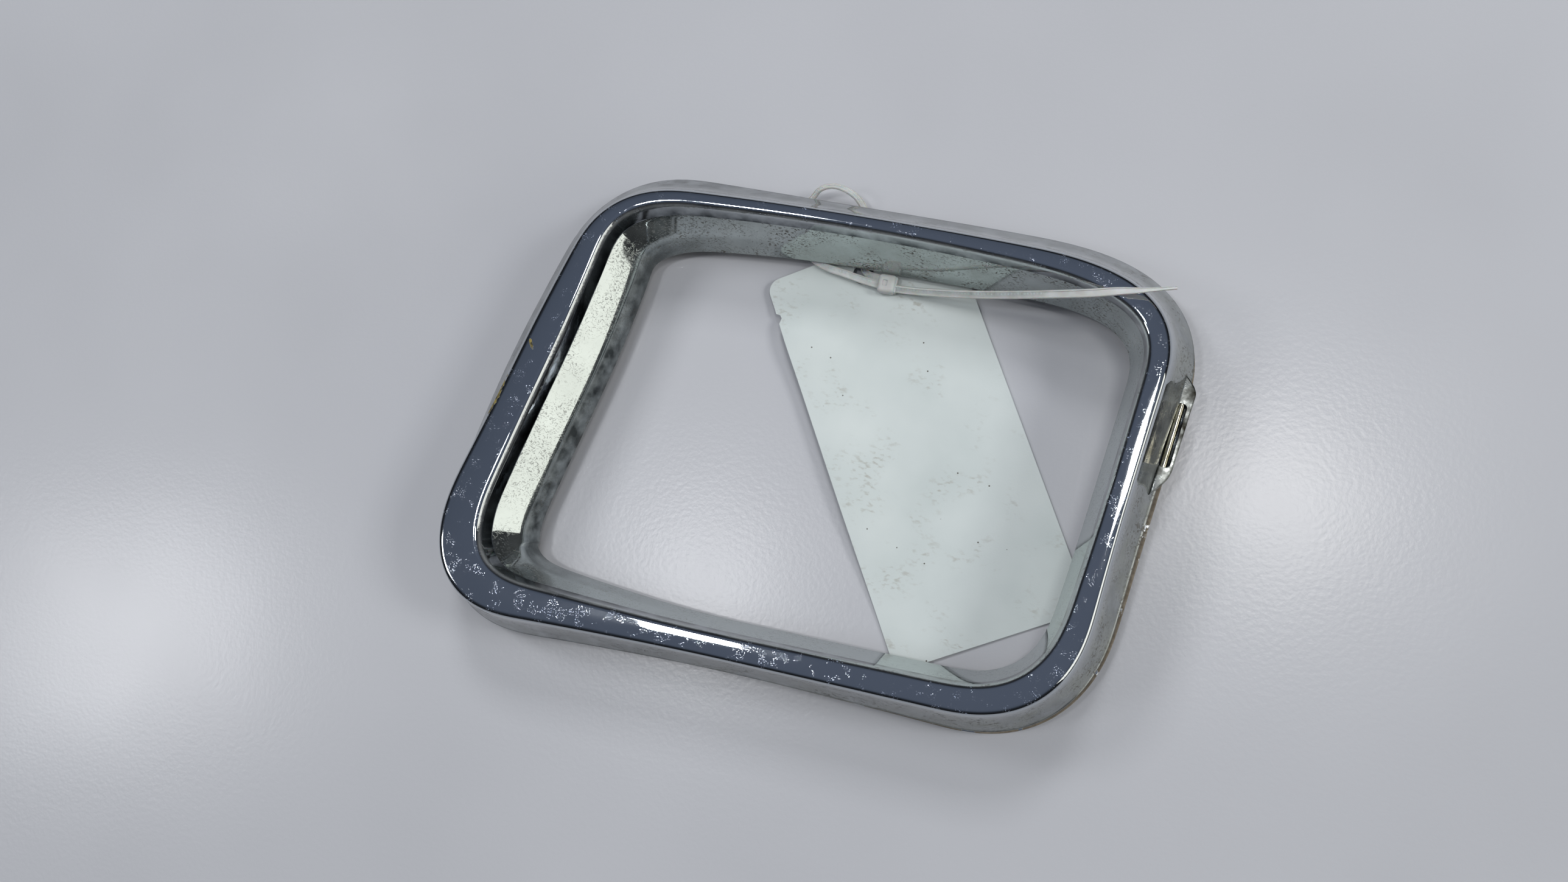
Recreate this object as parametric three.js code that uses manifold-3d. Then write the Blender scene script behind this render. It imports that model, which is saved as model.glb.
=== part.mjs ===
// Chromed surround of a car side mirror head, with the parts tag that hangs from it on a cable tie.
// Millimetres, +Z towards the front face. The surround lies on its rear pads, face up, at z = 0.
import * as THREE from 'three';
import { mergeVertices } from 'three/addons/utils/BufferGeometryUtils.js';
import Module from 'manifold-3d';

const wasm = await Module();
wasm.setup();

// Outline of the front face's middle line: a four-sided figure with soft corners
const outlineWidth = 211.5;
const outlineHeight = 137.8;
const leftLean = 32;
const rightLean = 14;
const topDrop = 3.4;
const bottomRise = 2.9;
const topBow = 1.3;
const cornerReach = {
  topRight: [45, 28],
  bottomRight: [30, 30],
  bottomLeft: [32, 37],
  topLeft: [21, 26],
};
const cornerFullness = 0.65;

// Heights
const faceHeight = 30;
const skirtFootHeight = 9.5;
const lipDepth = 5.5;
const linerFootHeight = 5.6;
const plateBottom = 5.8;
const plateThickness = 1.8;
const padThickness = 1.2;

// Walls and clearances
const skirtWall = 1.6;
const lipWall = 1.4;
const faceWall = 2.6;
const linerWall = 1.5;
const ribWall = 1.6;
const ribHeight = 4.2;
const clearance = 0.3;

// The section changes round the ring: width of the front face, how far the skirt flares out,
// how far the inner wall comes in, how hollow that wall is, and the ledge outside the skirt
const sections = {
  top: { face: 4.4, flare: 8.4, inset: 5.9, cove: 0, ledge: 0.4 },
  topRight: { face: 6.8, flare: 9, inset: 2.8, cove: 0, ledge: 0.3 },
  right: { face: 6, flare: 6.8, inset: 3.4, cove: 0, ledge: 2 },
  bottomRight: { face: 8.6, flare: 6.2, inset: 3, cove: 0, ledge: 1.3 },
  bottom: { face: 7.4, flare: 4.8, inset: 3.4, cove: 0, ledge: 0.5 },
  bottomLeft: { face: 14, flare: 6, inset: 10.5, cove: 1, ledge: 0.4 },
  left: { face: 11.3, flare: 11, inset: 11.5, cove: 1, ledge: 0.4 },
  topLeft: { face: 5.6, flare: 10.5, inset: 9.8, cove: 0.7, ledge: 0.4 },
};

// Fasteners: screws from behind into bosses in the face shell, spring clips over the carrier's rib
const screwShankRadius = 1.1;
const screwHeadRadius = 2.6;
const screwHeadHeight = 1.6;
const screwLength = 11;
const bossRadius = 2.6;
const bossTop = 18.5;
const clipSheet = 0.5;
const clipLength = 7;
const clipLeg = 3;

// Rear posts that the housing's screws go into, each on a soft pad
const postRadius = 4.2;
const postBore = 1.7;
const padRadius = 4;

// Side catch: a moulded block with a pocket and a steel pin, let into the right skirt
const catchLength = 38;
const catchWidth = 6;
const catchHeight = 5;
const catchPlace = 0.19;
const catchStandOut = 1.2;
const pocketLength = 26;
const pocketWidth = 3.6;
const pinRadius = 1.1;
const pinLength = 31;

// Lug behind the top bar, which the cable tie is threaded through
const lugWidth = 10.5;
const lugThickness = 2;
const lugBottom = 0.6;
const lugWindow = { width: 6.9, bottom: 1.5, top: 5 };

// Cable tie and tag
const strapWidth = 2.5;
const strapThickness = 1;
const headSize = { length: 6, width: 6.2, height: 3.9 };
const tagWidth = 63;
const tagLength = 134.5;
const tagThickness = 0.5;
const tagCorner = 6;
const tagFootCorner = 4.5;
const tagWornCorner = 15;
const tagHoleRadius = 3.5;
const tagHoleInset = 9;
const tagRest = 0.2;
const tagLift = 1.5;
const tagTurn = THREE.MathUtils.degToRad(30.5);

const stationsPerPart = 10;
const roundSides = 16;

// ---------------------------------------------------------------------------------------------
// Outline

const corners = {
  topLeft: new THREE.Vector3(-outlineWidth / 2 + leftLean, outlineHeight / 2, 0),
  topRight: new THREE.Vector3(outlineWidth / 2, outlineHeight / 2 - topDrop, 0),
  bottomRight: new THREE.Vector3(outlineWidth / 2 - rightLean, -outlineHeight / 2 + bottomRise, 0),
  bottomLeft: new THREE.Vector3(-outlineWidth / 2, -outlineHeight / 2, 0),
};

function alongSide(from, to, distance) {
  const step = to.clone().sub(from).setLength(distance);
  return from.clone().add(step);
}

// Side of the outline between two corners; bow is how far its middle stands out
function sideCurve(fromName, toName, bow) {
  const start = alongSide(corners[fromName], corners[toName], cornerReach[fromName][1]);
  const end = alongSide(corners[toName], corners[fromName], cornerReach[toName][0]);
  const outward = new THREE.Vector3(start.y - end.y, end.x - start.x, 0).normalize();
  const middle = start.clone().lerp(end, 0.5).addScaledVector(outward, 2 * bow);
  return new THREE.QuadraticBezierCurve3(start, middle, end);
}

// Soft corner that leaves and meets its two sides in their own directions
function cornerCurve(before, after, reach) {
  const start = before.v2;
  const end = after.v0;
  const startHandle = start.clone().addScaledVector(before.getTangent(1), reach[0] * cornerFullness);
  const endHandle = end.clone().addScaledVector(after.getTangent(0), -reach[1] * cornerFullness);
  return new THREE.CubicBezierCurve3(start, startHandle, endHandle, end);
}

const sides = {
  top: sideCurve('topLeft', 'topRight', topBow),
  right: sideCurve('topRight', 'bottomRight', 0),
  bottom: sideCurve('bottomRight', 'bottomLeft', 0),
  left: sideCurve('bottomLeft', 'topLeft', 0),
};

// Clockwise as seen from the front, starting with the top bar's left end
const outlineParts = [
  { name: 'top', curve: sides.top },
  { name: 'topRight', curve: cornerCurve(sides.top, sides.right, cornerReach.topRight) },
  { name: 'right', curve: sides.right },
  { name: 'bottomRight', curve: cornerCurve(sides.right, sides.bottom, cornerReach.bottomRight) },
  { name: 'bottom', curve: sides.bottom },
  { name: 'bottomLeft', curve: cornerCurve(sides.bottom, sides.left, cornerReach.bottomLeft) },
  { name: 'left', curve: sides.left },
  { name: 'topLeft', curve: cornerCurve(sides.left, sides.top, cornerReach.topLeft) },
];
const partCount = outlineParts.length;

// Where a named part of the outline is, counted in parts: the middle of the top bar is 0.5
function placeOn(name, share) {
  return outlineParts.findIndex((part) => part.name === name) + share;
}

// Point, outward direction and section values at a place on the outline
function stationAt(place) {
  const wrapped = THREE.MathUtils.euclideanModulo(place, partCount);
  const index = Math.floor(wrapped);
  const share = wrapped - index;
  const curve = outlineParts[index].curve;
  const tangent = curve.getTangent(share);
  const half = share - 0.5;
  const neighbour = outlineParts[(index + (half < 0 ? partCount - 1 : 1)) % partCount];
  const own = sections[outlineParts[index].name];
  const next = sections[neighbour.name];
  const blend = THREE.MathUtils.smoothstep(Math.abs(half), 0, 1);
  const section = {};
  for (const key of Object.keys(own)) {
    section[key] = THREE.MathUtils.lerp(own[key], next[key], blend);
  }
  const outward = new THREE.Vector3(-tangent.y, tangent.x, 0);
  return { point: curve.getPoint(share), tangent, outward, section };
}

function placed(station, offset, height) {
  return station.point.clone().addScaledVector(station.outward, offset).setZ(height);
}

// ---------------------------------------------------------------------------------------------
// Section lines: offset from the outline at a height

function skirtOuter(section, height) {
  const top = faceHeight - 3;
  const share = (top - height) / (top - skirtFootHeight);
  return section.face / 2 + section.flare * share;
}

function linerInner(section, height) {
  const top = faceHeight - lipDepth - clearance;
  const share = THREE.MathUtils.clamp((top - height) / (top - linerFootHeight), 0, 1);
  const hollow = 1 - Math.pow(1 - share, 2.4);
  const inset = THREE.MathUtils.lerp(share, hollow, section.cove) * section.inset;
  return -section.face / 2 - clearance - inset;
}

function linerOuter(section, height) {
  return linerInner(section, height) + linerWall;
}

// ---------------------------------------------------------------------------------------------
// Solids

function tidy(geometry) {
  geometry.deleteAttribute('normal');
  geometry.deleteAttribute('uv');
  return mergeVertices(geometry);
}

// Skin through a row of rings of equal point count, with flat ends unless the row closes on itself
function skinned(rings, isLoop, endFaces) {
  const count = rings[0].length;
  const positions = rings.flat().flatMap((point) => point.toArray());
  const index = [];
  const rows = isLoop ? rings.length : rings.length - 1;
  for (let row = 0; row < rows; row += 1) {
    const here = row * count;
    const there = ((row + 1) % rings.length) * count;
    for (let column = 0; column < count; column += 1) {
      const side = (column + 1) % count;
      index.push(here + column, there + column, there + side);
      index.push(here + column, there + side, here + side);
    }
  }
  if (!isLoop) {
    const last = (rings.length - 1) * count;
    for (const [a, b, c] of endFaces) {
      index.push(a, b, c);
      index.push(last + a, last + c, last + b);
    }
  }
  const geometry = new THREE.BufferGeometry();
  geometry.setAttribute('position', new THREE.Float32BufferAttribute(positions, 3));
  geometry.setIndex(index);
  return facingOut(geometry);
}

// Turns the faces round when they enclose a negative volume
function facingOut(geometry) {
  const position = geometry.getAttribute('position');
  const index = geometry.getIndex();
  const [a, b, c] = [new THREE.Vector3(), new THREE.Vector3(), new THREE.Vector3()];
  let volume = 0;
  for (let face = 0; face < index.count; face += 3) {
    a.fromBufferAttribute(position, index.getX(face));
    b.fromBufferAttribute(position, index.getX(face + 1));
    c.fromBufferAttribute(position, index.getX(face + 2));
    volume += a.dot(b.cross(c));
  }
  if (volume < 0) {
    for (let face = 0; face < index.count; face += 3) {
      const second = index.getX(face + 1);
      index.setX(face + 1, index.getX(face + 2));
      index.setX(face + 2, second);
    }
  }
  return geometry;
}

// Solid that follows the whole outline; sectionPoints gives [offset, height] pairs for a section
function ringSolid(sectionPoints) {
  const rings = [];
  for (let step = 0; step < partCount * stationsPerPart; step += 1) {
    const station = stationAt(step / stationsPerPart);
    rings.push(sectionPoints(station.section).map(([offset, height]) => placed(station, offset, height)));
  }
  return skinned(rings, true);
}

// Short solid along the outline, centred on a place
function pieceOnRing(place, length, sectionPoints) {
  const station = stationAt(place);
  const outline = sectionPoints(station.section);
  const flat = outline.map(([offset, height]) => new THREE.Vector2(offset, height));
  const endFaces = THREE.ShapeUtils.triangulateShape(flat, []);
  const rings = [-length / 2, length / 2].map((slide) =>
    outline.map(([offset, height]) => placed(station, offset, height).addScaledVector(station.tangent, slide)));
  return skinned(rings, false, endFaces);
}

function solid(geometry) {
  const merged = tidy(geometry.clone());
  return new wasm.Manifold(new wasm.Mesh({
    numProp: 3,
    vertProperties: merged.getAttribute('position').array,
    triVerts: Uint32Array.from(merged.getIndex().array),
  }));
}

function geometryOf(manifold) {
  const mesh = manifold.getMesh();
  const geometry = new THREE.BufferGeometry();
  geometry.setAttribute('position', new THREE.BufferAttribute(mesh.vertProperties, 3));
  geometry.setIndex(new THREE.BufferAttribute(mesh.triVerts, 1));
  return geometry;
}

function joined(base, additions) {
  return additions.reduce((whole, addition) => whole.add(solid(addition)), base);
}

function cutFrom(base, tools) {
  return tools.reduce((whole, tool) => whole.subtract(solid(tool)), base);
}

// Upright cylinder between two heights at a point
function post(centre, radius, bottom, top) {
  const geometry = new THREE.CylinderGeometry(radius, radius, top - bottom, roundSides);
  geometry.rotateX(Math.PI / 2);
  geometry.translate(centre.x, centre.y, (bottom + top) / 2);
  return geometry;
}

// Box with its length along the outline's direction at a station
function blockAt(station, offset, bottom, size) {
  const geometry = new THREE.BoxGeometry(size.length, size.width, size.height);
  geometry.rotateZ(Math.atan2(station.tangent.y, station.tangent.x));
  const centre = placed(station, offset, bottom + size.height / 2);
  geometry.translate(centre.x, centre.y, centre.z);
  return geometry;
}

// ---------------------------------------------------------------------------------------------
// Places

const plateTop = plateBottom + plateThickness;
const screwPlaces = [
  placeOn('top', 0.12), placeOn('top', 0.9), placeOn('right', 0.95),
  placeOn('bottom', 0.35), placeOn('bottom', 0.95), placeOn('left', 0.5),
];
const clipPlaces = [
  placeOn('top', 0.6), placeOn('right', 0.2), placeOn('right', 0.8),
  placeOn('bottom', 0.1), placeOn('bottom', 0.6), placeOn('left', 0.25),
];
const postPlaces = [
  placeOn('topRight', 0.5), placeOn('bottomRight', 0.5),
  placeOn('bottomLeft', 0.5), placeOn('topLeft', 0.5),
];

function screwCentre(place) {
  const station = stationAt(place);
  return placed(station, skirtOuter(station.section, bossTop) - clearance - bossRadius, 0);
}

function postCentre(place) {
  const station = stationAt(place);
  return placed(station, station.section.face / 4, 0);
}

const catchStation = stationAt(placeOn('right', catchPlace));
const catchOffset = catchStation.section.face / 2 + catchStation.section.flare
  + catchStation.section.ledge + catchStandOut - catchWidth / 2;
const catchTop = skirtFootHeight + catchHeight;
const pinHeight = catchTop - pinRadius - clearance;

const lugStation = stationAt(placeOn('top', 0.25));
const lugOffset = lugStation.section.flare / 2 - 1;

// ---------------------------------------------------------------------------------------------
// Bezel: the chromed face shell with its flared skirt, inner lip and screw bosses

function bezelSection(section) {
  const half = section.face / 2;
  const foot = skirtOuter(section, skirtFootHeight);
  const lipEdge = section.ledge / 2 + foot;
  const middleHeight = (faceHeight + skirtFootHeight) / 2;
  const middle = skirtOuter(section, middleHeight) - section.flare * 0.04;
  const shoulder = faceHeight - 3;
  return [
    [lipEdge, skirtFootHeight],
    [lipEdge, skirtFootHeight + 1],
    [foot - 0.2, skirtFootHeight + 1.2],
    [middle, middleHeight],
    [half, shoulder],
    [half - 0.35, faceHeight - 1.6],
    [half - 1.2, faceHeight - 0.7],
    [half * 0.1, faceHeight],
    [-half + 1.1, faceHeight - 0.6],
    [-half + 0.1, faceHeight - 1.5],
    [-half - clearance, shoulder],
    [-half - clearance, faceHeight - lipDepth],
    [-half - clearance + lipWall, faceHeight - lipDepth],
    [-half - clearance + lipWall, faceHeight - faceWall],
    [half - skirtWall, faceHeight - faceWall],
    [middle - skirtWall, middleHeight],
    [foot - skirtWall, skirtFootHeight],
  ];
}

function catchBlock(grow) {
  const size = {
    length: catchLength + 2 * grow,
    width: catchWidth + 2 * grow,
    height: catchHeight + 2 * grow,
  };
  return blockAt(catchStation, catchOffset, skirtFootHeight - grow, size);
}

function makeBezel() {
  const bosses = screwPlaces.map((place) => post(screwCentre(place), bossRadius, plateTop + clearance, bossTop));
  const bores = screwPlaces.map((place) =>
    post(screwCentre(place), screwShankRadius + clearance, plateBottom, bossTop - 1));
  const whole = joined(solid(ringSolid(bezelSection)), bosses);
  return geometryOf(cutFrom(whole, [...bores, catchBlock(clearance)]));
}

// ---------------------------------------------------------------------------------------------
// Liner: the chromed funnel wall behind the face

function linerSection(section) {
  const top = faceHeight - lipDepth - clearance;
  const steps = [0, 0.15, 0.3, 0.45, 0.62, 0.8, 1];
  const heights = steps.map((share) => THREE.MathUtils.lerp(top, linerFootHeight, share));
  const inner = heights.map((height) => [linerInner(section, height), height]);
  const outer = heights.map((height) => [linerOuter(section, height), height]);
  return [...inner, ...outer.reverse()];
}

// ---------------------------------------------------------------------------------------------
// Carrier: the unplated rear frame, a plate with a rib, the tie lug and four posts

function carrierSection(section) {
  const inner = linerOuter(section, plateBottom) + clearance;
  const ribTop = plateTop + ribHeight;
  const ribGap = clipSheet + 2 * clearance;
  const ribInnerLow = linerOuter(section, plateTop) + ribGap;
  const ribInnerHigh = linerOuter(section, ribTop) + ribGap;
  const outer = skirtOuter(section, skirtFootHeight) + section.ledge;
  return [
    [inner, plateBottom],
    [outer, plateBottom],
    [outer, plateTop],
    [ribInnerLow + ribWall, plateTop],
    [ribInnerHigh + ribWall, ribTop],
    [ribInnerHigh, ribTop],
    [ribInnerLow, plateTop],
    [linerOuter(section, plateTop) + clearance, plateTop],
  ];
}

function makeCarrier() {
  const posts = postPlaces.map((place) =>
    post(postCentre(place), postRadius, padThickness + clearance, plateTop));
  const lug = blockAt(lugStation, lugOffset, lugBottom, {
    length: lugWidth,
    width: lugThickness,
    height: plateTop - lugBottom,
  });
  const lugOpening = blockAt(lugStation, lugOffset, lugWindow.bottom, {
    length: lugWindow.width,
    width: lugThickness * 2,
    height: lugWindow.top - lugWindow.bottom,
  });
  const screwHoles = screwPlaces.map((place) =>
    post(screwCentre(place), screwShankRadius + clearance + 0.1, 0, plateTop + 1));
  const postHoles = postPlaces.map((place) => post(postCentre(place), postBore, 0, plateBottom + 1));
  const whole = joined(solid(ringSolid(carrierSection)), [...posts, lug]);
  return geometryOf(cutFrom(whole, [...screwHoles, ...postHoles, lugOpening]));
}

// ---------------------------------------------------------------------------------------------
// Seal: a rubber strip between the skirt's foot and the carrier's plate

function sealSection(section) {
  const foot = skirtOuter(section, skirtFootHeight);
  const bottom = plateTop + clearance;
  const top = skirtFootHeight - clearance;
  return [
    [foot - skirtWall - clearance, bottom],
    [foot + clearance, bottom],
    [foot + clearance, top],
    [foot - skirtWall - clearance, top],
  ];
}

// ---------------------------------------------------------------------------------------------
// Side catch and its pin

function pinBar(radius, length) {
  const geometry = new THREE.CylinderGeometry(radius, radius, length, 12);
  geometry.rotateZ(Math.PI / 2);
  geometry.rotateZ(Math.atan2(catchStation.tangent.y, catchStation.tangent.x));
  const centre = placed(catchStation, catchOffset, pinHeight);
  geometry.translate(centre.x, centre.y, centre.z);
  return geometry;
}

function makeCatch() {
  const shape = new THREE.Shape();
  const [halfLength, halfWidth, taper] = [catchLength / 2, catchWidth / 2, catchWidth * 0.45];
  shape.moveTo(-halfLength, -halfWidth);
  shape.lineTo(halfLength, -halfWidth);
  shape.quadraticCurveTo(halfLength - taper, halfWidth, halfLength - 2 * taper, halfWidth);
  shape.lineTo(-halfLength + 2 * taper, halfWidth);
  shape.quadraticCurveTo(-halfLength + taper, halfWidth, -halfLength, -halfWidth);
  const block = new THREE.ExtrudeGeometry(shape, { depth: catchHeight, bevelEnabled: false, curveSegments: 6 });
  block.rotateZ(Math.atan2(catchStation.tangent.y, catchStation.tangent.x));
  const seat = placed(catchStation, catchOffset, skirtFootHeight);
  block.translate(seat.x, seat.y, seat.z);
  const pocketBottom = pinHeight - pinRadius - clearance;
  const pocket = blockAt(catchStation, catchOffset, pocketBottom, {
    length: pocketLength,
    width: pocketWidth,
    height: catchHeight,
  });
  return geometryOf(cutFrom(solid(block), [pocket, pinBar(pinRadius + clearance, pinLength + 2 * clearance)]));
}

// ---------------------------------------------------------------------------------------------
// Fasteners and pads

function makeScrew(place) {
  const headTop = plateBottom - clearance;
  const profile = [
    new THREE.Vector2(0, headTop - screwHeadHeight),
    new THREE.Vector2(screwHeadRadius * 0.75, headTop - screwHeadHeight),
    new THREE.Vector2(screwHeadRadius, headTop - screwHeadHeight / 2),
    new THREE.Vector2(screwHeadRadius, headTop),
    new THREE.Vector2(screwShankRadius, headTop),
    new THREE.Vector2(screwShankRadius, headTop + screwLength),
    new THREE.Vector2(0, headTop + screwLength),
  ];
  const geometry = new THREE.LatheGeometry(profile, 12);
  geometry.rotateX(Math.PI / 2);
  const centre = screwCentre(place);
  geometry.translate(centre.x, centre.y, 0);
  return facingOut(tidy(geometry));
}

function makeClip(place) {
  const clipSection = (section) => {
    const ribTop = plateTop + ribHeight;
    const foot = ribTop - clipLeg;
    const ribGap = clipSheet + 2 * clearance;
    const ribInner = (height) => linerOuter(section, height) + ribGap;
    const near = (height) => ribInner(height) - clearance;
    const far = (height) => ribInner(height) + ribWall + clearance;
    return [
      [near(foot), foot],
      [near(ribTop), ribTop + clearance],
      [far(ribTop), ribTop + clearance],
      [far(foot), foot],
      [far(foot) + clipSheet, foot],
      [far(ribTop) + clipSheet, ribTop + clearance + clipSheet],
      [near(ribTop) - clipSheet, ribTop + clearance + clipSheet],
      [near(foot) - clipSheet, foot],
    ];
  };
  return pieceOnRing(place, clipLength, clipSection);
}

function makePad(place) {
  const profile = [
    new THREE.Vector2(postBore, 0),
    new THREE.Vector2(padRadius, 0),
    new THREE.Vector2(padRadius, padThickness),
    new THREE.Vector2(postBore, padThickness),
    new THREE.Vector2(postBore, 0),
  ];
  const geometry = new THREE.LatheGeometry(profile, roundSides);
  geometry.rotateX(Math.PI / 2);
  const centre = postCentre(place);
  geometry.translate(centre.x, centre.y, 0);
  return facingOut(tidy(geometry));
}

// ---------------------------------------------------------------------------------------------
// Cable tie: one nylon moulding, its loop through the lug and the tag, its tail over the corner

const lugPoint = placed(lugStation, lugOffset, 0);
const cornerPoint = stationAt(placeOn('topRight', 0.5)).point;
const tagHole = lugPoint.clone().add(new THREE.Vector3(27.6, -12.8, 0));
const headCentre = lugPoint.clone().add(new THREE.Vector3(36.6, -15.5, 4.6));

// Each point: x and y from the lug, height, and the strap's tilt in degrees (0 flat, 90 on edge)
const loopRoute = [
  [37.1, -14.7, 4.6, 0],
  [33, -13.7, 4.2, 0],
  [29.2, -12.5, 2.6, 0],
  [26.8, -9.1, 0.8, 0],
  [26, -3.7, 1, 5],
  [25.4, 2.8, 2.4, 15],
  [24.2, 7.9, 3.4, 25],
  [21.2, 11.3, 6, 40],
  [17, 13.1, 7.8, 45],
  [12.6, 13.5, 8.4, 45],
  [8.6, 12.3, 7.4, 40],
  [5.2, 9.1, 4.2, 25],
  [0, 4, 3.1, 5],
  [0, -1.5, 3, 5],
  [7, -8.3, 3.2, 10],
  [14, -12.3, 3.8, 15],
  [23.2, -14.3, 4.4, 10],
  [30.8, -15.7, 4.7, 0],
];
// Each point: share of the way from the lug to the corner, y beside it, share of the climb to the face
const tailRoute = [
  [0.354, -11.5, 0],
  [0.457, -9.9, 0.09],
  [0.566, -8.2, 0.27],
  [0.679, -6.2, 0.5],
  [0.784, -4.2, 0.74],
  [0.879, -2.4, 0.98],
  [0.951, -0.2, 1.09],
  [1.011, 1.8, 1.13],
  [1.087, 4.8, 1.16],
];
const tailStartHeight = 5.2;

function tieRoute() {
  const loop = loopRoute.map(([x, y, height, tilt]) =>
    ({ point: lugPoint.clone().add(new THREE.Vector3(x, y, height)), tilt }));
  const tail = tailRoute.map(([share, aside, climb]) => {
    const point = lugPoint.clone().lerp(cornerPoint, share);
    const height = THREE.MathUtils.lerp(tailStartHeight, faceHeight, climb);
    return { point: point.setY(point.y + aside).setZ(height), tilt: 0 };
  });
  return [...loop, ...tail];
}

function makeCableTie() {
  const route = tieRoute();
  const curve = new THREE.CatmullRomCurve3(route.map(({ point }) => point), false, 'centripetal');
  const stepCount = 84;
  const rings = [];
  for (let step = 0; step <= stepCount; step += 1) {
    const share = step / stepCount;
    const along = share * (route.length - 1);
    const index = Math.min(Math.floor(along), route.length - 2);
    const tiltDegrees = THREE.MathUtils.lerp(route[index].tilt, route[index + 1].tilt, along - index);
    const tilt = THREE.MathUtils.degToRad(tiltDegrees);
    const centre = curve.getPoint(share);
    const tangent = curve.getTangent(share);
    const level = new THREE.Vector3(-tangent.y, tangent.x, 0).normalize();
    const across = level.clone().applyAxisAngle(tangent, tilt);
    const up = tangent.clone().cross(across).normalize();
    const taper = THREE.MathUtils.lerp(1, 0.35, THREE.MathUtils.smoothstep(share, 0.9, 1));
    const [wide, thick] = [strapWidth / 2 * taper, strapThickness / 2];
    rings.push([[-wide, -thick], [wide, -thick], [wide, thick], [-wide, thick]].map(([side, rise]) =>
      centre.clone().addScaledVector(across, side).addScaledVector(up, rise)));
  }
  const strap = skinned(rings, false, [[0, 1, 2], [0, 2, 3]]);
  const head = new THREE.BoxGeometry(headSize.length, headSize.width, headSize.height);
  head.translate(headCentre.x, headCentre.y, headCentre.z);
  return geometryOf(solid(strap).add(solid(head)));
}

// ---------------------------------------------------------------------------------------------
// Tag: a blank card that lies on the table, its hole end lifted over the strap

// Height of the tag's underside at a distance from the hole, up the tag
function tagHeightAt(distance) {
  return tagRest + tagLift * THREE.MathUtils.smoothstep(distance, -34, -6);
}

// Outline of the card, with its hole at the origin
function tagPlan() {
  const half = tagWidth / 2;
  const top = tagHoleInset;
  const shape = new THREE.Shape();
  shape.moveTo(-half + tagCorner, top);
  shape.quadraticCurveTo(-half, top, -half, top - tagCorner);
  shape.lineTo(-half, top - tagLength + tagFootCorner);
  shape.quadraticCurveTo(-half, top - tagLength, -half + tagFootCorner, top - tagLength);
  shape.lineTo(half - tagFootCorner, top - tagLength);
  shape.quadraticCurveTo(half, top - tagLength, half, top - tagLength + tagFootCorner);
  shape.lineTo(half, top - tagWornCorner);
  shape.quadraticCurveTo(half, top, half - tagWornCorner, top);
  const hole = new THREE.Path();
  hole.absarc(0, 0, tagHoleRadius, 0, Math.PI * 2, true);
  shape.holes.push(hole);
  return shape;
}

// Side view of the bent card: its length to the left, its thickness upwards
function tagBend() {
  const reach = tagHoleInset + 1;
  const distances = [reach, -6, -11, -16, -20, -24, -29, -34, -tagLength];
  const lower = distances.map((distance) => new THREE.Vector2(distance, tagHeightAt(distance)));
  const upper = lower.map((point) => new THREE.Vector2(point.x, point.y + tagThickness));
  return new THREE.Shape([...lower, ...upper.reverse()]);
}

function makeTag() {
  const card = new THREE.ExtrudeGeometry(tagPlan(), { depth: 8, bevelEnabled: false, curveSegments: 6 });
  card.translate(0, 0, -2);
  const sheet = new THREE.ExtrudeGeometry(tagBend(), { depth: tagWidth + 2, bevelEnabled: false });
  sheet.rotateX(Math.PI / 2);
  sheet.rotateZ(Math.PI / 2);
  sheet.translate(-tagWidth / 2 - 1, 0, 0);
  const geometry = geometryOf(solid(card).intersect(solid(sheet)));
  geometry.rotateZ(tagTurn);
  geometry.translate(tagHole.x, tagHole.y, 0);
  return geometry;
}

// ---------------------------------------------------------------------------------------------
// Assembly

const finishes = {
  chrome: new THREE.MeshStandardMaterial({ color: 0xd6dade, roughness: 0.08, metalness: 1 }),
  carrier: new THREE.MeshStandardMaterial({ color: 0x6f675a, roughness: 0.6, metalness: 0 }),
  rubber: new THREE.MeshStandardMaterial({ color: 0x1c1c1d, roughness: 0.8, metalness: 0 }),
  catch: new THREE.MeshStandardMaterial({ color: 0x8f938f, roughness: 0.3, metalness: 0.8 }),
  steel: new THREE.MeshStandardMaterial({ color: 0xb4b2a8, roughness: 0.25, metalness: 1 }),
  zinc: new THREE.MeshStandardMaterial({ color: 0x9c9d9f, roughness: 0.35, metalness: 1 }),
  nylon: new THREE.MeshStandardMaterial({ color: 0xdedfd9, roughness: 0.4, metalness: 0 }),
  card: new THREE.MeshStandardMaterial({ color: 0xd7e1de, roughness: 0.6, metalness: 0 }),
};

const assembly = new THREE.Group();

function addPiece(name, geometry, finish) {
  geometry.computeVertexNormals();
  const mesh = new THREE.Mesh(geometry, finishes[finish].clone());
  mesh.name = name;
  assembly.add(mesh);
}

addPiece('front_bezel', makeBezel(), 'chrome');
addPiece('inner_liner', ringSolid(linerSection), 'chrome');
addPiece('rear_carrier', makeCarrier(), 'carrier');
addPiece('edge_seal', ringSolid(sealSection), 'rubber');
addPiece('side_catch', makeCatch(), 'catch');
addPiece('catch_pin', pinBar(pinRadius, pinLength), 'steel');
screwPlaces.forEach((place, index) => addPiece(`rear_screw_${index + 1}`, makeScrew(place), 'zinc'));
clipPlaces.forEach((place, index) => addPiece(`liner_clip_${index + 1}`, makeClip(place), 'steel'));
postPlaces.forEach((place, index) => addPiece(`post_pad_${index + 1}`, makePad(place), 'rubber'));
addPiece('cable_tie', makeCableTie(), 'nylon');
addPiece('parts_tag', makeTag(), 'card');

// Origin at the middle of the underside
const box = new THREE.Box3().setFromObject(assembly);
const middle = box.getCenter(new THREE.Vector3());
assembly.position.set(-middle.x, -middle.y, -box.min.z);
assembly.updateMatrixWorld(true);

export default assembly;
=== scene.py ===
"""Looks of a chromed side mirror surround with its parts tag, laid out as an add-on."""

import math

import bmesh
import bpy
import numpy as np
from mathutils import Matrix, Vector
from mathutils.geometry import delaunay_2d_cdt


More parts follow.
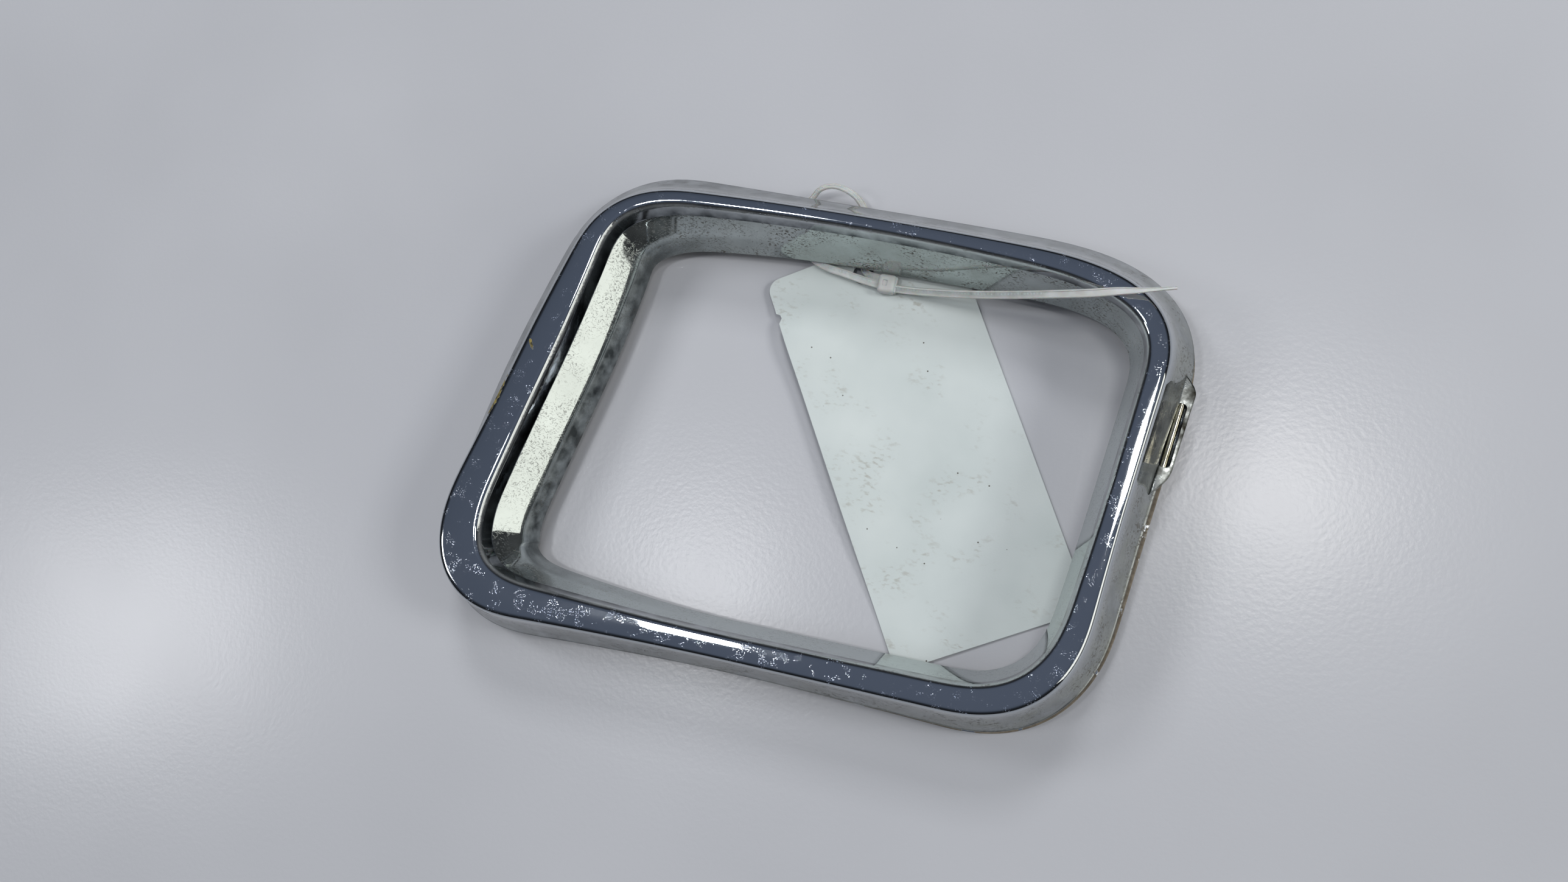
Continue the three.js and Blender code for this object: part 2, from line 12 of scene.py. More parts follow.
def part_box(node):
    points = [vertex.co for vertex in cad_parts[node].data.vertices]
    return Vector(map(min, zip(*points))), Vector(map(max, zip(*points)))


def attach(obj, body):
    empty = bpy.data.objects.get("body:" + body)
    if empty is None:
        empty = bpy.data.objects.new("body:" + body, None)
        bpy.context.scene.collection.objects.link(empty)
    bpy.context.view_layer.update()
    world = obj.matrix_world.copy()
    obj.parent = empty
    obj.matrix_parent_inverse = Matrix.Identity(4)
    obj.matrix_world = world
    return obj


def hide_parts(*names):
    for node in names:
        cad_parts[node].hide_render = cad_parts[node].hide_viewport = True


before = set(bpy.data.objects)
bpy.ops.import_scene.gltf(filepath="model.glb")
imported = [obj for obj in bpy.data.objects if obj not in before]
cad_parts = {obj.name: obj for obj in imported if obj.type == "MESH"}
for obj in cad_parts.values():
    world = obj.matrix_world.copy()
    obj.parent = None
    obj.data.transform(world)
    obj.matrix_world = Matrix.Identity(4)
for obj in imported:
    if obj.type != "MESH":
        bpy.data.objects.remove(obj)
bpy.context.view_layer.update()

bl_info = {
    "name": "Mirror surround",
    "version": (1, 0, 0),
    "blender": (4, 5, 0),
    "location": "View3D > Sidebar > Mirror surround",
    "description": "Makes the chromed ring, its fixings, the cable tie and the tag",
    "category": "Add Mesh",
}

MM = 0.001

# Sections round the ring in mm: width of the front face, flare of the skirt, inward reach of the
# inner wall, how hollow that wall is, ledge of the rear frame outside the skirt
SECTION_KEYS = ("face", "flare", "inset", "cove", "ledge")
SECTIONS = {
    "top": (4.4, 8.4, 5.9, 0, 0.4),
    "top_right": (6.8, 9, 2.8, 0, 0.3),
    "right": (6, 6.8, 3.4, 0, 2),
    "bottom_right": (8.6, 6.2, 3, 0, 1.3),
    "bottom": (7.4, 4.8, 3.4, 0, 0.5),
    "bottom_left": (14, 6, 10.5, 1, 0.4),
    "left": (11.3, 11, 11.5, 1, 0.4),
    "top_left": (5.6, 10.5, 9.8, 0.7, 0.4),
}
PART_NAMES = list(SECTIONS)
CORNER_REACH = {
    "top_right": (45, 28),
    "bottom_right": (30, 30),
    "bottom_left": (32, 37),
    "top_left": (21, 26),
}
CORNER_FULLNESS = 0.65

# Heights in mm
FACE_TOP = 30
SKIRT_FOOT = 9.5
LIP_DEPTH = 5.5
LINER_FOOT = 5.6
PLATE_BOTTOM = 5.8
PLATE_TOP = 7.6
RIB_TOP = 11.8
PAD_TOP = 1.2
GAP = 0.3

# Places of the fixings, counted in parts of the outline
SCREW_PLACES = (0.12, 0.9, 2.95, 4.35, 4.95, 6.5)
CLIP_PLACES = (0.6, 2.2, 2.8, 4.1, 4.6, 6.25)
POST_PLACES = (1.5, 3.5, 5.5, 7.5)
CATCH_PLACE = 2.19
LUG_PLACE = 0.25

# Cable tie's route: x and y from the lug, height, tilt in degrees
LOOP_ROUTE = (
    (37.1, -14.7, 4.6, 0), (33, -13.7, 4.2, 0), (29.2, -12.5, 2.6, 0), (26.8, -9.1, 0.8, 0),
    (26, -3.7, 1, 5), (25.4, 2.8, 2.4, 15), (24.2, 7.9, 3.4, 25), (21.2, 11.3, 6, 40),
    (17, 13.1, 7.8, 45), (12.6, 13.5, 8.4, 45), (8.6, 12.3, 7.4, 40), (5.2, 9.1, 4.2, 25),
    (0, 4, 3.1, 5), (0, -1.5, 3, 5), (7, -8.3, 3.2, 10), (14, -12.3, 3.8, 15),
    (23.2, -14.3, 4.4, 10), (30.8, -15.7, 4.7, 0),
)
# Its tail: share of the way from the lug to the corner, y beside it, share of the climb
TAIL_ROUTE = (
    (0.354, -11.5, 0), (0.457, -9.9, 0.09), (0.566, -8.2, 0.27), (0.679, -6.2, 0.5),
    (0.784, -4.2, 0.74), (0.879, -2.4, 0.98), (0.951, -0.2, 1.09), (1.011, 1.8, 1.13),
    (1.087, 4.8, 1.16),
)
TAIL_START = 5.2
TAIL_CORNER = 1.5
STRAP_STATIONS = 320

# Head of the tie and hole of the tag, from the lug, in mm
HEAD_PLACE = (36.6, -15.5, 4.6)
HOLE_PLACE = (27.6, -12.8, 0)
HOLE_RADIUS = 3.5
HOLE_INSET = 9.0

# Rim of a pad's or post's bore and how far the catch stands out and in
BORE = 1.7
CATCH_PROUD = 1.2
CATCH_DEPTH = 3

# Scuffs on the face: place round the outline, spread in mm, strength
SCUFFS = (
    (0.42, 16, 0.8), (0.62, 8, 0.7), (1.15, 14, 0.9), (2.15, 14, 0.5), (2.45, 18, 0.6),
    (3.4, 20, 0.7), (4.05, 22, 0.9), (4.3, 16, 1), (4.7, 14, 0.7), (4.93, 14, 1),
    (5.3, 18, 0.8), (6.35, 25, 0.6), (6.9, 20, 0.6), (7.6, 18, 0.5),
)
# Gap in the skirt's foot beside the catch, in mm: half its width, its ends, its rise
NOTCH_HALF = 11.6
NOTCH_END = 2.4
NOTCH_RISE = 3.8

# Blisters in the plate: x, y, length, width in mm, turn
BLISTERS = ((-98, -9.5, 10, 1.7, 1.33), (-90.1, 9, 2.6, 0.8, 2.1))

# Lamps: where each stands in metres, its sides, power and colour, and if gloss shows it
LAMPS = (
    ("ceiling_right", (0.414, 0.205, 1.5), (0.2, 0.2), 3.2, "#fffdfa", True),
    ("ceiling_left", (-0.438, -0.102, 1.5), (0.15, 0.15), 3.3, "#fdfdff", True),
    ("far_left", (-1.495, -0.42, 1.5), (0.4, 0.4), 5, "#fdfdff", True),
    ("right_panel", (1.35, -0.26, 0.68), (1.1, 0.8), 4.6, "#fffcf2", True),
    ("fill_top", (-0.1, 1.25, 1.3), (0.4, 0.4), 9, "#fdfdff", False),
    ("fill_left", (-1.1, 0.5, 1.3), (0.4, 0.4), 6.5, "#fdfdff", False),
    ("fill_right", (1.3, 0.3, 1.1), (0.4, 0.4), 9, "#fdfdff", False),
)
# The room's tone from the horizon up
ROOM_TONES = ((0.0, "#111112"), (0.3, "#17181a"), (0.6, "#25282e"), (0.84, "#474d59"),
              (1.0, "#4d5360"))
ROOM_STRENGTH = 1.7
FLOOR_HALF = 1.6

# Camera: place in metres, turn, focal length in mm
CAMERA_PLACE = (0.07625, -0.04151, 0.365)
CAMERA_TURN = ((0.95647, -0.18588, 0.22500), (0.21272, 0.97184, -0.10141),
               (-0.19981, 0.14486, 0.96907))
CAMERA_LENS = 26.19


def linear(code):
    """Scene colour of an sRGB hex code."""
    parts = [int(code[i:i + 2], 16) / 255 for i in (1, 3, 5)]
    return tuple(c / 12.92 if c <= 0.04045 else ((c + 0.055) / 1.055) ** 2.4 for c in parts)


def clear(code):
    """The same with full alpha."""
    return (*linear(code), 1)


def eased(share):
    """Share from nought to one that starts and ends gently."""
    share = np.clip(share, 0, 1)
    return share * share * (3 - 2 * share)


# ------------------------------------------------------------------------------------------------
# Sizes and colours that a user would change


def length_setting(name, description, mm):
    """Setting for a length."""
    return bpy.props.FloatProperty(name=name, description=description, default=mm * MM,
                                   unit="LENGTH")


def colour_setting(name, description, code):
    """Setting for a colour."""
    return bpy.props.FloatVectorProperty(name=name, description=description,
                                         default=linear(code), subtype="COLOR")


class SurroundSizes(bpy.types.PropertyGroup):
    """Sizes of the ring and of what hangs from it"""

    outline_width: length_setting("Outline width", "Width of the face's middle line", 211.5)
    outline_height: length_setting("Outline height", "Height of the face's middle line", 137.8)
    left_lean: length_setting("Left lean", "How far the left side leans in at the top", 32)
    right_lean: length_setting("Right lean", "How far the right side leans in at the bottom", 14)
    top_drop: length_setting("Top drop", "Drop of the top bar to its right end", 3.4)
    bottom_rise: length_setting("Bottom rise", "Rise of the bottom bar to its right end", 2.9)
    top_bow: length_setting("Top bow", "How far the top bar bows out in its middle", 1.3)
    skirt_wall: length_setting("Skirt wall", "Wall thickness of the skirt", 1.6)
    liner_wall: length_setting("Liner wall", "Wall thickness of the inner wall", 1.5)
    strap_width: length_setting("Strap width", "Width of the cable tie's strap", 2.5)
    tooth_pitch: length_setting("Tooth pitch", "Distance between the strap's teeth", 1.0)
    tag_width: length_setting("Tag width", "Width of the card", 63)
    tag_length: length_setting("Tag length", "Length of the card", 134.5)
    tag_turn: bpy.props.FloatProperty(
        name="Tag turn", description="How far the card is turned as it lies",
        default=math.radians(30.5), subtype="ANGLE")


class SurroundColours(bpy.types.PropertyGroup):
    """Colours of the finishes"""

    chrome: colour_setting("Chrome", "Bright plate", "#bfc4c8")
    grime: colour_setting("Grime", "Dried dirt", "#767a70")
    bare_plastic: colour_setting("Bare plastic", "Unplated rear frame", "#6b6254")
    nylon: colour_setting("Nylon", "Cable tie", "#eef0ee")
    card: colour_setting("Card", "Blank tag", "#c9d1cf")
    floor: colour_setting("Floor", "Pale floor", "#b9bbbf")


# ------------------------------------------------------------------------------------------------
# Outline of the ring, in mm


def corner_points(sizes):
    """The four corners of the outline before they are rounded."""
    half_width = sizes.outline_width / MM / 2
    half_height = sizes.outline_height / MM / 2
    return {
        "top_left": np.array((-half_width + sizes.left_lean / MM, half_height)),
        "top_right": np.array((half_width, half_height - sizes.top_drop / MM)),
        "bottom_right": np.array((half_width - sizes.right_lean / MM,
                                  -half_height + sizes.bottom_rise / MM)),
        "bottom_left": np.array((-half_width, -half_height)),
    }


def side_handles(corners, start_name, end_name, bow):
    """Three Bezier handles of a side that bows out by a distance."""
    line = corners[end_name] - corners[start_name]
    step = line / np.linalg.norm(line)
    start = corners[start_name] + step * CORNER_REACH[start_name][1]
    end = corners[end_name] - step * CORNER_REACH[end_name][0]
    outward = np.array((start[1] - end[1], end[0] - start[0]))
    outward /= np.linalg.norm(outward)
    return [start, (start + end) / 2 + outward * 2 * bow, end]


def corner_handles(before, after, reach):
    """Four Bezier handles of a corner that follows on from its two sides."""
    leave = before[2] - before[1]
    meet = after[1] - after[0]
    leave /= np.linalg.norm(leave)
    meet /= np.linalg.norm(meet)
    return [before[2], before[2] + leave * reach[0] * CORNER_FULLNESS,
            after[0] - meet * reach[1] * CORNER_FULLNESS, after[0]]


def bezier(handles, shares):
    """Points of a Bezier curve of any degree at an array of shares."""
    rows = [np.repeat(h[None], len(shares), 0) for h in handles]
    t = shares[:, None]
    while len(rows) > 1:
        rows = [a * (1 - t) + b * t for a, b in zip(rows, rows[1:])]
    return rows[0]


def outline_handles(sizes):
    """Bezier handles of the eight parts, clockwise from the top bar's left end."""
    corners = corner_points(sizes)
    top = side_handles(corners, "top_left", "top_right", sizes.top_bow / MM)
    right = side_handles(corners, "top_right", "bottom_right", 0)
    bottom = side_handles(corners, "bottom_right", "bottom_left", 0)
    left = side_handles(corners, "bottom_left", "top_left", 0)
    return [
        top, corner_handles(top, right, CORNER_REACH["top_right"]),
        right, corner_handles(right, bottom, CORNER_REACH["bottom_right"]),
        bottom, corner_handles(bottom, left, CORNER_REACH["bottom_left"]),
        left, corner_handles(left, top, CORNER_REACH["top_left"]),
    ]


def section_values(places):
    """Section values at an array of places."""
    table = np.array([SECTIONS[name] for name in PART_NAMES], float)
    wrapped = np.mod(places, len(PART_NAMES))
    index = wrapped.astype(int)
    half = wrapped - index - 0.5
    neighbour = (index + np.where(half < 0, -1, 1)) % len(PART_NAMES)
    share = np.abs(half)
    blend = eased(share)[:, None]
    values = table[index] * (1 - blend) + table[neighbour] * blend
    return {key: values[:, i] for i, key in enumerate(SECTION_KEYS)}


def smoothed(values, spread):
    """Closed row of values run through a soft window of some steps."""
    reach = int(spread * 3)
    steps = np.arange(-reach, reach + 1)
    weights = np.exp(-0.5 * (steps / spread) ** 2)
    weights /= weights.sum()
    padded = np.concatenate([values[-reach:], values, values[:reach]])
    return np.stack([np.convolve(column, weights, "valid") for column in padded.T], 1)


class Outline:
    """The ring's middle line at even steps, with its outward directions and section values."""

    def __init__(self, sizes, count=720):
        handles = outline_handles(sizes)
        fine = np.arange(0, 8, 1 / 120)
        parts = [bezier(handles[i], np.arange(0, 1, 1 / 120)) for i in range(8)]
        raw = np.concatenate(parts)
        closed = np.concatenate([raw, raw[:1]])
        steps = np.linalg.norm(np.diff(closed, axis=0), axis=1)
        distance = np.concatenate([[0], np.cumsum(steps)])
        self.length = distance[-1]
        self.along = np.arange(count) / count * self.length
        self.place = np.interp(self.along, distance, np.concatenate([fine, [8]]))
        even = np.stack([np.interp(self.along, distance, closed[:, i]) for i in range(2)], 1)
        spread = 3.5 / (self.length / count)
        self.point = smoothed(even, spread)
        keys = section_values(self.place)
        values = smoothed(np.stack([keys[k] for k in SECTION_KEYS], 1), spread * 1.5)
        self.section = {k: values[:, i] for i, k in enumerate(SECTION_KEYS)}
        ahead = np.roll(self.point, -1, 0) - np.roll(self.point, 1, 0)
        self.tangent = ahead / np.linalg.norm(ahead, axis=1)[:, None]
        self.outward = np.stack([-self.tangent[:, 1], self.tangent[:, 0]], 1)
        self.shift = np.zeros(2)

    def centre(self):
        """Moves the outline so that its seal lies where the CAD's seal lies."""
        foot = skirt_offset(self.section, SKIRT_FOOT) + GAP
        edge = self.point + self.outward * foot[:, None]
        low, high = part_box("edge_seal")
        wanted = (np.array(low)[:2] + np.array(high)[:2]) / 2 / MM
        self.shift = wanted - (edge.min(0) + edge.max(0)) / 2
        self.point = self.point + self.shift

    def at(self, place):
        """Point, tangent, outward direction and section at one place."""
        index = int(np.argmin(np.abs(self.place - place)))
        section = {k: v[index] for k, v in self.section.items()}
        return self.point[index], self.tangent[index], self.outward[index], section

    def gap(self, place):
        """Distance in mm of every station from a place, the short way round."""
        index = int(np.argmin(np.abs(self.place - place)))
        gap = np.abs(self.along - self.along[index])
        return np.minimum(gap, self.length - gap)

    def near(self, place, spread):
        """Bump of height one at a place, a distance in mm wide."""
        return np.exp(-0.5 * (self.gap(place) / spread) ** 2)


def skirt_offset(section, height):
    """Outer face of the skirt at a height."""
    top = FACE_TOP - 3
    share = (top - height) / (top - SKIRT_FOOT)
    return section["face"] / 2 + section["flare"] * share


def liner_offset(section, height):
    """Inner face of the liner at a height, hollow where the wall is a cove."""
    top = FACE_TOP - LIP_DEPTH - GAP
    share = np.clip((top - height) / (top - LINER_FOOT), 0, 1)
    hollow = 1 - (1 - share) ** 2.4
    inset = (share * (1 - section["cove"]) + hollow * section["cove"]) * section["inset"]
    return -section["face"] / 2 - GAP - inset


def ring_outline(context):
    """Centred outline for the scene's sizes."""
    outline = Outline(context.scene.surround_sizes)
    outline.centre()
    return outline


# ------------------------------------------------------------------------------------------------
# Meshes


def softened(corners):
    """Closed section line with rounded corners.

    Each corner is (offsets, heights, setback, steps); offsets and heights are arrays over the
    stations. Returns points and directions, both stations x points x 2.
    """
    size = max(np.size(c[0]) for c in corners)
    spots = [np.stack([np.broadcast_to(np.asarray(v, float), (size,)) for v in c[:2]], 1)
             for c in corners]
    points, directions = [], []
    for i, (_, _, setback, steps) in enumerate(corners):
        here = spots[i]
        arms = []
        for other in (spots[i - 1], spots[(i + 1) % len(spots)]):
            line = other - here
            length = np.maximum(np.linalg.norm(line, axis=1), 1e-6)
            arms.append(here + line * (np.minimum(setback, length * 0.47) / length)[:, None])
        for step in range(steps + 1):
            t = step / steps
            start, end = arms
            points.append((1 - t) ** 2 * start + 2 * t * (1 - t) * here + t * t * end)
            directions.append((1 - t) * (here - start) + t * (end - here))
    return np.stack(points, 1), np.stack(directions, 1)


def ring_mesh(name, outline, line, **marks):
    """Closed ring from a section line; its shading follows the line's own directions."""
    points, directions = line
    stations, count = points.shape[:2]
    flat = outline.point[:, None] + outline.outward[:, None] * points[..., :1]
    spots = np.concatenate([flat, points[..., 1:]], 2)
    ahead = np.roll(spots, -1, 0) - np.roll(spots, 1, 0)
    across = np.concatenate([outline.outward[:, None] * directions[..., :1],
                             directions[..., 1:]], 2)
    normals = np.cross(ahead, across)
    normals /= np.maximum(np.linalg.norm(normals, axis=2), 1e-9)[..., None]
    grid = np.arange(stations * count).reshape(stations, count)
    next_row = np.roll(grid, -1, 0)
    quads = np.stack([grid, np.roll(grid, -1, 1), np.roll(next_row, -1, 1), next_row], 2)
    quads = quads.reshape(-1, 4)
    corner = spots.reshape(-1, 3)
    volume = np.einsum("ij,ij->", corner[quads[:, 0]],
                       np.cross(corner[quads[:, 1]], corner[quads[:, 2]]))
    if volume < 0:
        quads = quads[:, ::-1]
    face_normal = np.cross(corner[quads[:, 1]] - corner[quads[:, 0]],
                           corner[quads[:, 2]] - corner[quads[:, 0]])
    lean = np.einsum("ij,ij->", face_normal, normals.reshape(-1, 3)[quads[:, 0]])
    if lean < 0:
        normals = -normals
    mesh = bpy.data.meshes.new(name)
    mesh.from_pydata((corner * MM).tolist(), [], quads.tolist())
    mesh.shade_smooth()
    mesh.normals_split_custom_set_from_vertices(normals.reshape(-1, 3).tolist())
    travelled = np.concatenate([np.zeros((stations, 1)), np.cumsum(
        np.linalg.norm(np.diff(points, axis=1), axis=2), axis=1)], 1)
    add_strip_map(mesh, np.repeat(outline.along, count), travelled.reshape(-1))
    for label, values in marks.items():
        attribute = mesh.attributes.new(label, "FLOAT", "POINT")
        attribute.data.foreach_set("value", np.ascontiguousarray(
            np.broadcast_to(values, (stations, count)), dtype=np.float32).reshape(-1))
    return mesh


def add_strip_map(mesh, along, across):
    """UV map in metres along and across a swept piece."""
    layer = mesh.uv_layers.new(name="strip")
    loops = np.zeros(len(mesh.loops), int)
    mesh.loops.foreach_get("vertex_index", loops)
    table = np.stack([along[loops], across[loops]], 1) * MM
    layer.data.foreach_set("uv", table.astype(np.float32).reshape(-1))


def new_object(name, mesh, material):
    """Object at the origin with one material."""
    made = bpy.data.objects.new(name, mesh)
    bpy.context.scene.collection.objects.link(made)
    mesh.materials.clear()
    mesh.materials.append(material)
    return made


def kept(piece, body, slot, *nodes):
    """Puts a piece on its body in place of CAD nodes; the slot argument is not used."""
    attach(piece, body)
    if nodes:
        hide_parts(*nodes)


def crisp(mesh, degrees=38):
    """Smooth shading that breaks at sharp edges."""
    mesh.shade_smooth()
    mesh.set_sharp_from_angle(angle=math.radians(degrees))


def from_bmesh(name, work):
    """Mesh of what a bmesh holds, which is then freed."""
    mesh = bpy.data.meshes.new(name)
    work.to_mesh(mesh)
    work.free()
    crisp(mesh)
    return mesh


def shown(name, item, *helpers):
    """Mesh of an object as its modifiers show it; removes the helper objects."""
    bpy.context.view_layer.update()
    graph = bpy.context.evaluated_depsgraph_get()
    result = bpy.data.meshes.new_from_object(item.evaluated_get(graph), depsgraph=graph)
    result.name = name
    for helper in helpers:
        bpy.data.objects.remove(helper)
    return result


def shifted(spot):
    """Matrix that moves to a spot in mm."""
    return Matrix.Translation(Vector(spot) * MM)


def lathe_mesh(name, profile, sides):
    """Solid of revolution about Z from a closed section line of (radius, height) in mm."""
    work = bmesh.new()
    rows = []
    for radius, height in profile:
        if radius < 1e-6:
            rows.append([work.verts.new((0, 0, height * MM))])
            continue
        turns = [2 * math.pi * k / sides for k in range(sides)]
        rows.append([work.verts.new((radius * MM * math.cos(a), radius * MM * math.sin(a),
                                     height * MM)) for a in turns])
    pairs = list(zip(rows, rows[1:]))
    if len(rows[0]) > 1 and len(rows[-1]) > 1:
        pairs.append((rows[-1], rows[0]))
    for low, high in pairs:
        for k in range(sides):
            after = (k + 1) % sides
            if len(low) == 1 and len(high) == 1:
                break
            if len(low) == 1:
                work.faces.new((low[0], high[after], high[k]))
            elif len(high) == 1:
                work.faces.new((low[k], low[after], high[0]))
            else:
                work.faces.new((low[k], low[after], high[after], high[k]))
    bmesh.ops.recalc_face_normals(work, faces=work.faces)
    return from_bmesh(name, work)


def prism_mesh(name, outline_points, low, high, bevel=0.0, steps=2):
    """Upright prism in mm with its long edges rounded."""
    work = bmesh.new()
    floor = [work.verts.new((x * MM, y * MM, low * MM)) for x, y in outline_points]
    roof = [work.verts.new((x * MM, y * MM, high * MM)) for x, y in outline_points]
    work.faces.new(floor[::-1])
    work.faces.new(roof)
    count = len(floor)
    for i in range(count):
        j = (i + 1) % count
        work.faces.new((floor[i], floor[j], roof[j], roof[i]))
    bmesh.ops.recalc_face_normals(work, faces=work.faces)
    if bevel:
        rims = [e for e in work.edges if abs(e.verts[0].co.z - e.verts[1].co.z) < 1e-7]
        bmesh.ops.bevel(work, geom=rims, offset=bevel * MM, segments=steps, profile=0.5,
                        affect="EDGES", clamp_overlap=True)
    return from_bmesh(name, work)


def rounded_outline(length, width, radius, steps):
    """Rectangle with round corners, centred on the origin."""
    points = []
    for sign_x, sign_y, start in ((1, -1, -90), (1, 1, 0), (-1, 1, 90), (-1, -1, 180)):
        centre = (sign_x * (length / 2 - radius), sign_y * (width / 2 - radius))
        for step in range(steps + 1):
            angle = math.radians(start + 90 * step / steps)
            points.append((centre[0] + radius * math.cos(angle),
                           centre[1] + radius * math.sin(angle)))
    return points


def rounded_box(name, size, radius, steps=3):
    """Box centred on the origin with rounded edges, sizes in mm."""
    work = bmesh.new()
    bmesh.ops.create_cube(work, size=1)
    for vertex in work.verts:
        vertex.co = Vector([vertex.co[i] * size[i] * MM for i in range(3)])
    bmesh.ops.bevel(work, geom=list(work.edges), offset=radius * MM, segments=steps,
                    profile=0.5, affect="EDGES")
    return from_bmesh(name, work)


def merged(name, meshes):
    """One mesh from several (mesh, matrix) pairs."""
    work = bmesh.new()
    for mesh, matrix in meshes:
        copy = mesh.copy()
        copy.transform(matrix)
        work.from_mesh(copy)
        bpy.data.meshes.remove(copy)
    result = bpy.data.meshes.new(name)
    work.to_mesh(result)
    work.free()
    return result


def carved(name, mesh, cutters):
    """Mesh with other solids cut out of it."""
    body = bpy.data.objects.new(name, mesh)
    bpy.context.scene.collection.objects.link(body)
    tools = []
    for cutter in cutters:
        tool = bpy.data.objects.new("cutter", cutter)
        bpy.context.scene.collection.objects.link(tool)
        modifier = body.modifiers.new("cut", "BOOLEAN")
        modifier.object = tool
        modifier.operation = "DIFFERENCE"
        modifier.solver = "EXACT"
        tools.append(tool)
    result = shown(name, body, body, *tools)
    crisp(result)
    return result


# ------------------------------------------------------------------------------------------------
# Geometry Nodes for what repeats


def repeat_tree():
    """Node tree that puts a piece on every point of a mesh, turned by the point's own angles."""
    tree = bpy.data.node_groups.get("repeat_piece")
    if tree:
        return tree
    tree = bpy.data.node_groups.new("repeat_piece", "GeometryNodeTree")
    for name, kind in (("Geometry", "NodeSocketGeometry"), ("Piece", "NodeSocketObject"),
                       ("Size", "NodeSocketFloat"), ("Finish", "NodeSocketMaterial")):
        tree.interface.new_socket(name=name, in_out="INPUT", socket_type=kind)
    tree.interface.new_socket(name="Geometry", in_out="OUTPUT", socket_type="NodeSocketGeometry")
    given = add_node(tree, "NodeGroupInput")
    piece = add_node(tree, "GeometryNodeObjectInfo", {"Object": given.outputs["Piece"]})
    turn = add_node(tree, "GeometryNodeInputNamedAttribute", {"Name": "turn"},
                    data_type="FLOAT_VECTOR")
    euler = add_node(tree, "FunctionNodeEulerToRotation", {"Euler": turn.outputs["Attribute"]})
    placed = add_node(tree, "GeometryNodeInstanceOnPoints", {
        "Points": given.outputs["Geometry"], "Instance": piece.outputs["Geometry"],
        "Rotation": euler.outputs["Rotation"], "Scale": given.outputs["Size"]})
    real = add_node(tree, "GeometryNodeRealizeInstances", {
        "Geometry": placed.outputs["Instances"]})
    coloured = add_node(tree, "GeometryNodeSetMaterial", {
        "Geometry": real.outputs["Geometry"], "Material": given.outputs["Finish"]})
    add_node(tree, "NodeGroupOutput", {"Geometry": coloured.outputs["Geometry"]})
    return tree


def repeated(name, piece_mesh, spots, material, size=1.0):
    """Plain mesh object with a piece at each (point in mm, three angles)."""
    points = bpy.data.meshes.new(name + "_points")
    points.from_pydata([tuple(c * MM for c in spot) for spot, _ in spots], [], [])
    turns = points.attributes.new("turn", "FLOAT_VECTOR", "POINT")
    for item, (_, angles) in zip(turns.data, spots):
        item.vector = angles
    holder = bpy.data.objects.new(name, points)
    bpy.context.scene.collection.objects.link(holder)
    source = bpy.data.objects.new(name + "_piece", piece_mesh)
    bpy.context.scene.collection.objects.link(source)
    tree = repeat_tree()
    modifier = holder.modifiers.new("repeat", "NODES")
    modifier.node_group = tree
    values = {"Piece": source, "Size": size, "Finish": material}
    for item in tree.interface.items_tree:
        if item.item_type == "SOCKET" and item.in_out == "INPUT" and item.name in values:
            modifier[item.identifier] = values[item.name]
    result = shown(name, holder, holder, source)
    crisp(result)
    return new_object(name, result, material)


# ------------------------------------------------------------------------------------------------
# Materials


def add_node(tree, kind, inputs=None, **settings):
    """Node with its settings, and its inputs set or linked."""
    made = tree.nodes.new(kind)
    for key, value in settings.items():
        setattr(made, key, value)
    for key, value in (inputs or {}).items():
        if isinstance(value, bpy.types.NodeSocket):
            tree.links.new(value, made.inputs[key])
        else:
            made.inputs[key].default_value = value
    return made


def new_material(name, **values):
    """Material with its shader's plain values set; returns material, tree, shader, coordinates."""
    material = bpy.data.materials.new(name)
    material.use_nodes = True
    tree = material.node_tree
    tree.nodes.clear()
    shader = add_node(tree, "ShaderNodeBsdfPrincipled")
    for key, value in values.items():
        shader.inputs[key.replace("_", " ")].default_value = value
    add_node(tree, "ShaderNodeOutputMaterial", {"Surface": shader.outputs["BSDF"]})
    place = add_node(tree, "ShaderNodeTexCoord").outputs["Object"]
    return material, tree, shader, place


def connect(tree, shader, height, strength, depth, **links):
    """Links a shader's varying inputs, and its relief from a height that is some mm deep."""
    bump = add_node(tree, "ShaderNodeBump", {
        "Height": height, "Strength": strength, "Distance": depth * MM})
    for key, value in {**links, "Normal": bump.outputs[0]}.items():
        tree.links.new(value, shader.inputs[key.replace("_", " ")])


def grain(mm):
    """Scale of a noise whose features are some mm across."""
    return 1000 / mm


def noise(tree, place, mm, low, high, detail=3.0, **settings):
    """Noise of a real size, stretched to run from nought to one between two levels."""
    made = add_node(tree, "ShaderNodeTexNoise", {
        "Vector": place, "Scale": grain(mm), "Detail": detail}, **settings)
    return add_node(tree, "ShaderNodeMapRange", {
        "Value": made.outputs[0], "From Min": low, "From Max": high}).outputs["Result"]


def math_of(tree, operation, first, second=0.0):
    """Result of one sum."""
    return add_node(tree, "ShaderNodeMath", {0: first, 1: second},
                    operation=operation, use_clamp=True).outputs[0]


def mixed(tree, share, first, second):
    """Colour between two colours."""
    return add_node(tree, "ShaderNodeMix", {0: share, 6: first, 7: second},
                    data_type="RGBA").outputs[2]


def blended(tree, share, first, second):
    """Number between two numbers."""
    return add_node(tree, "ShaderNodeMix", {0: share, 2: first, 3: second},
                    data_type="FLOAT").outputs[0]


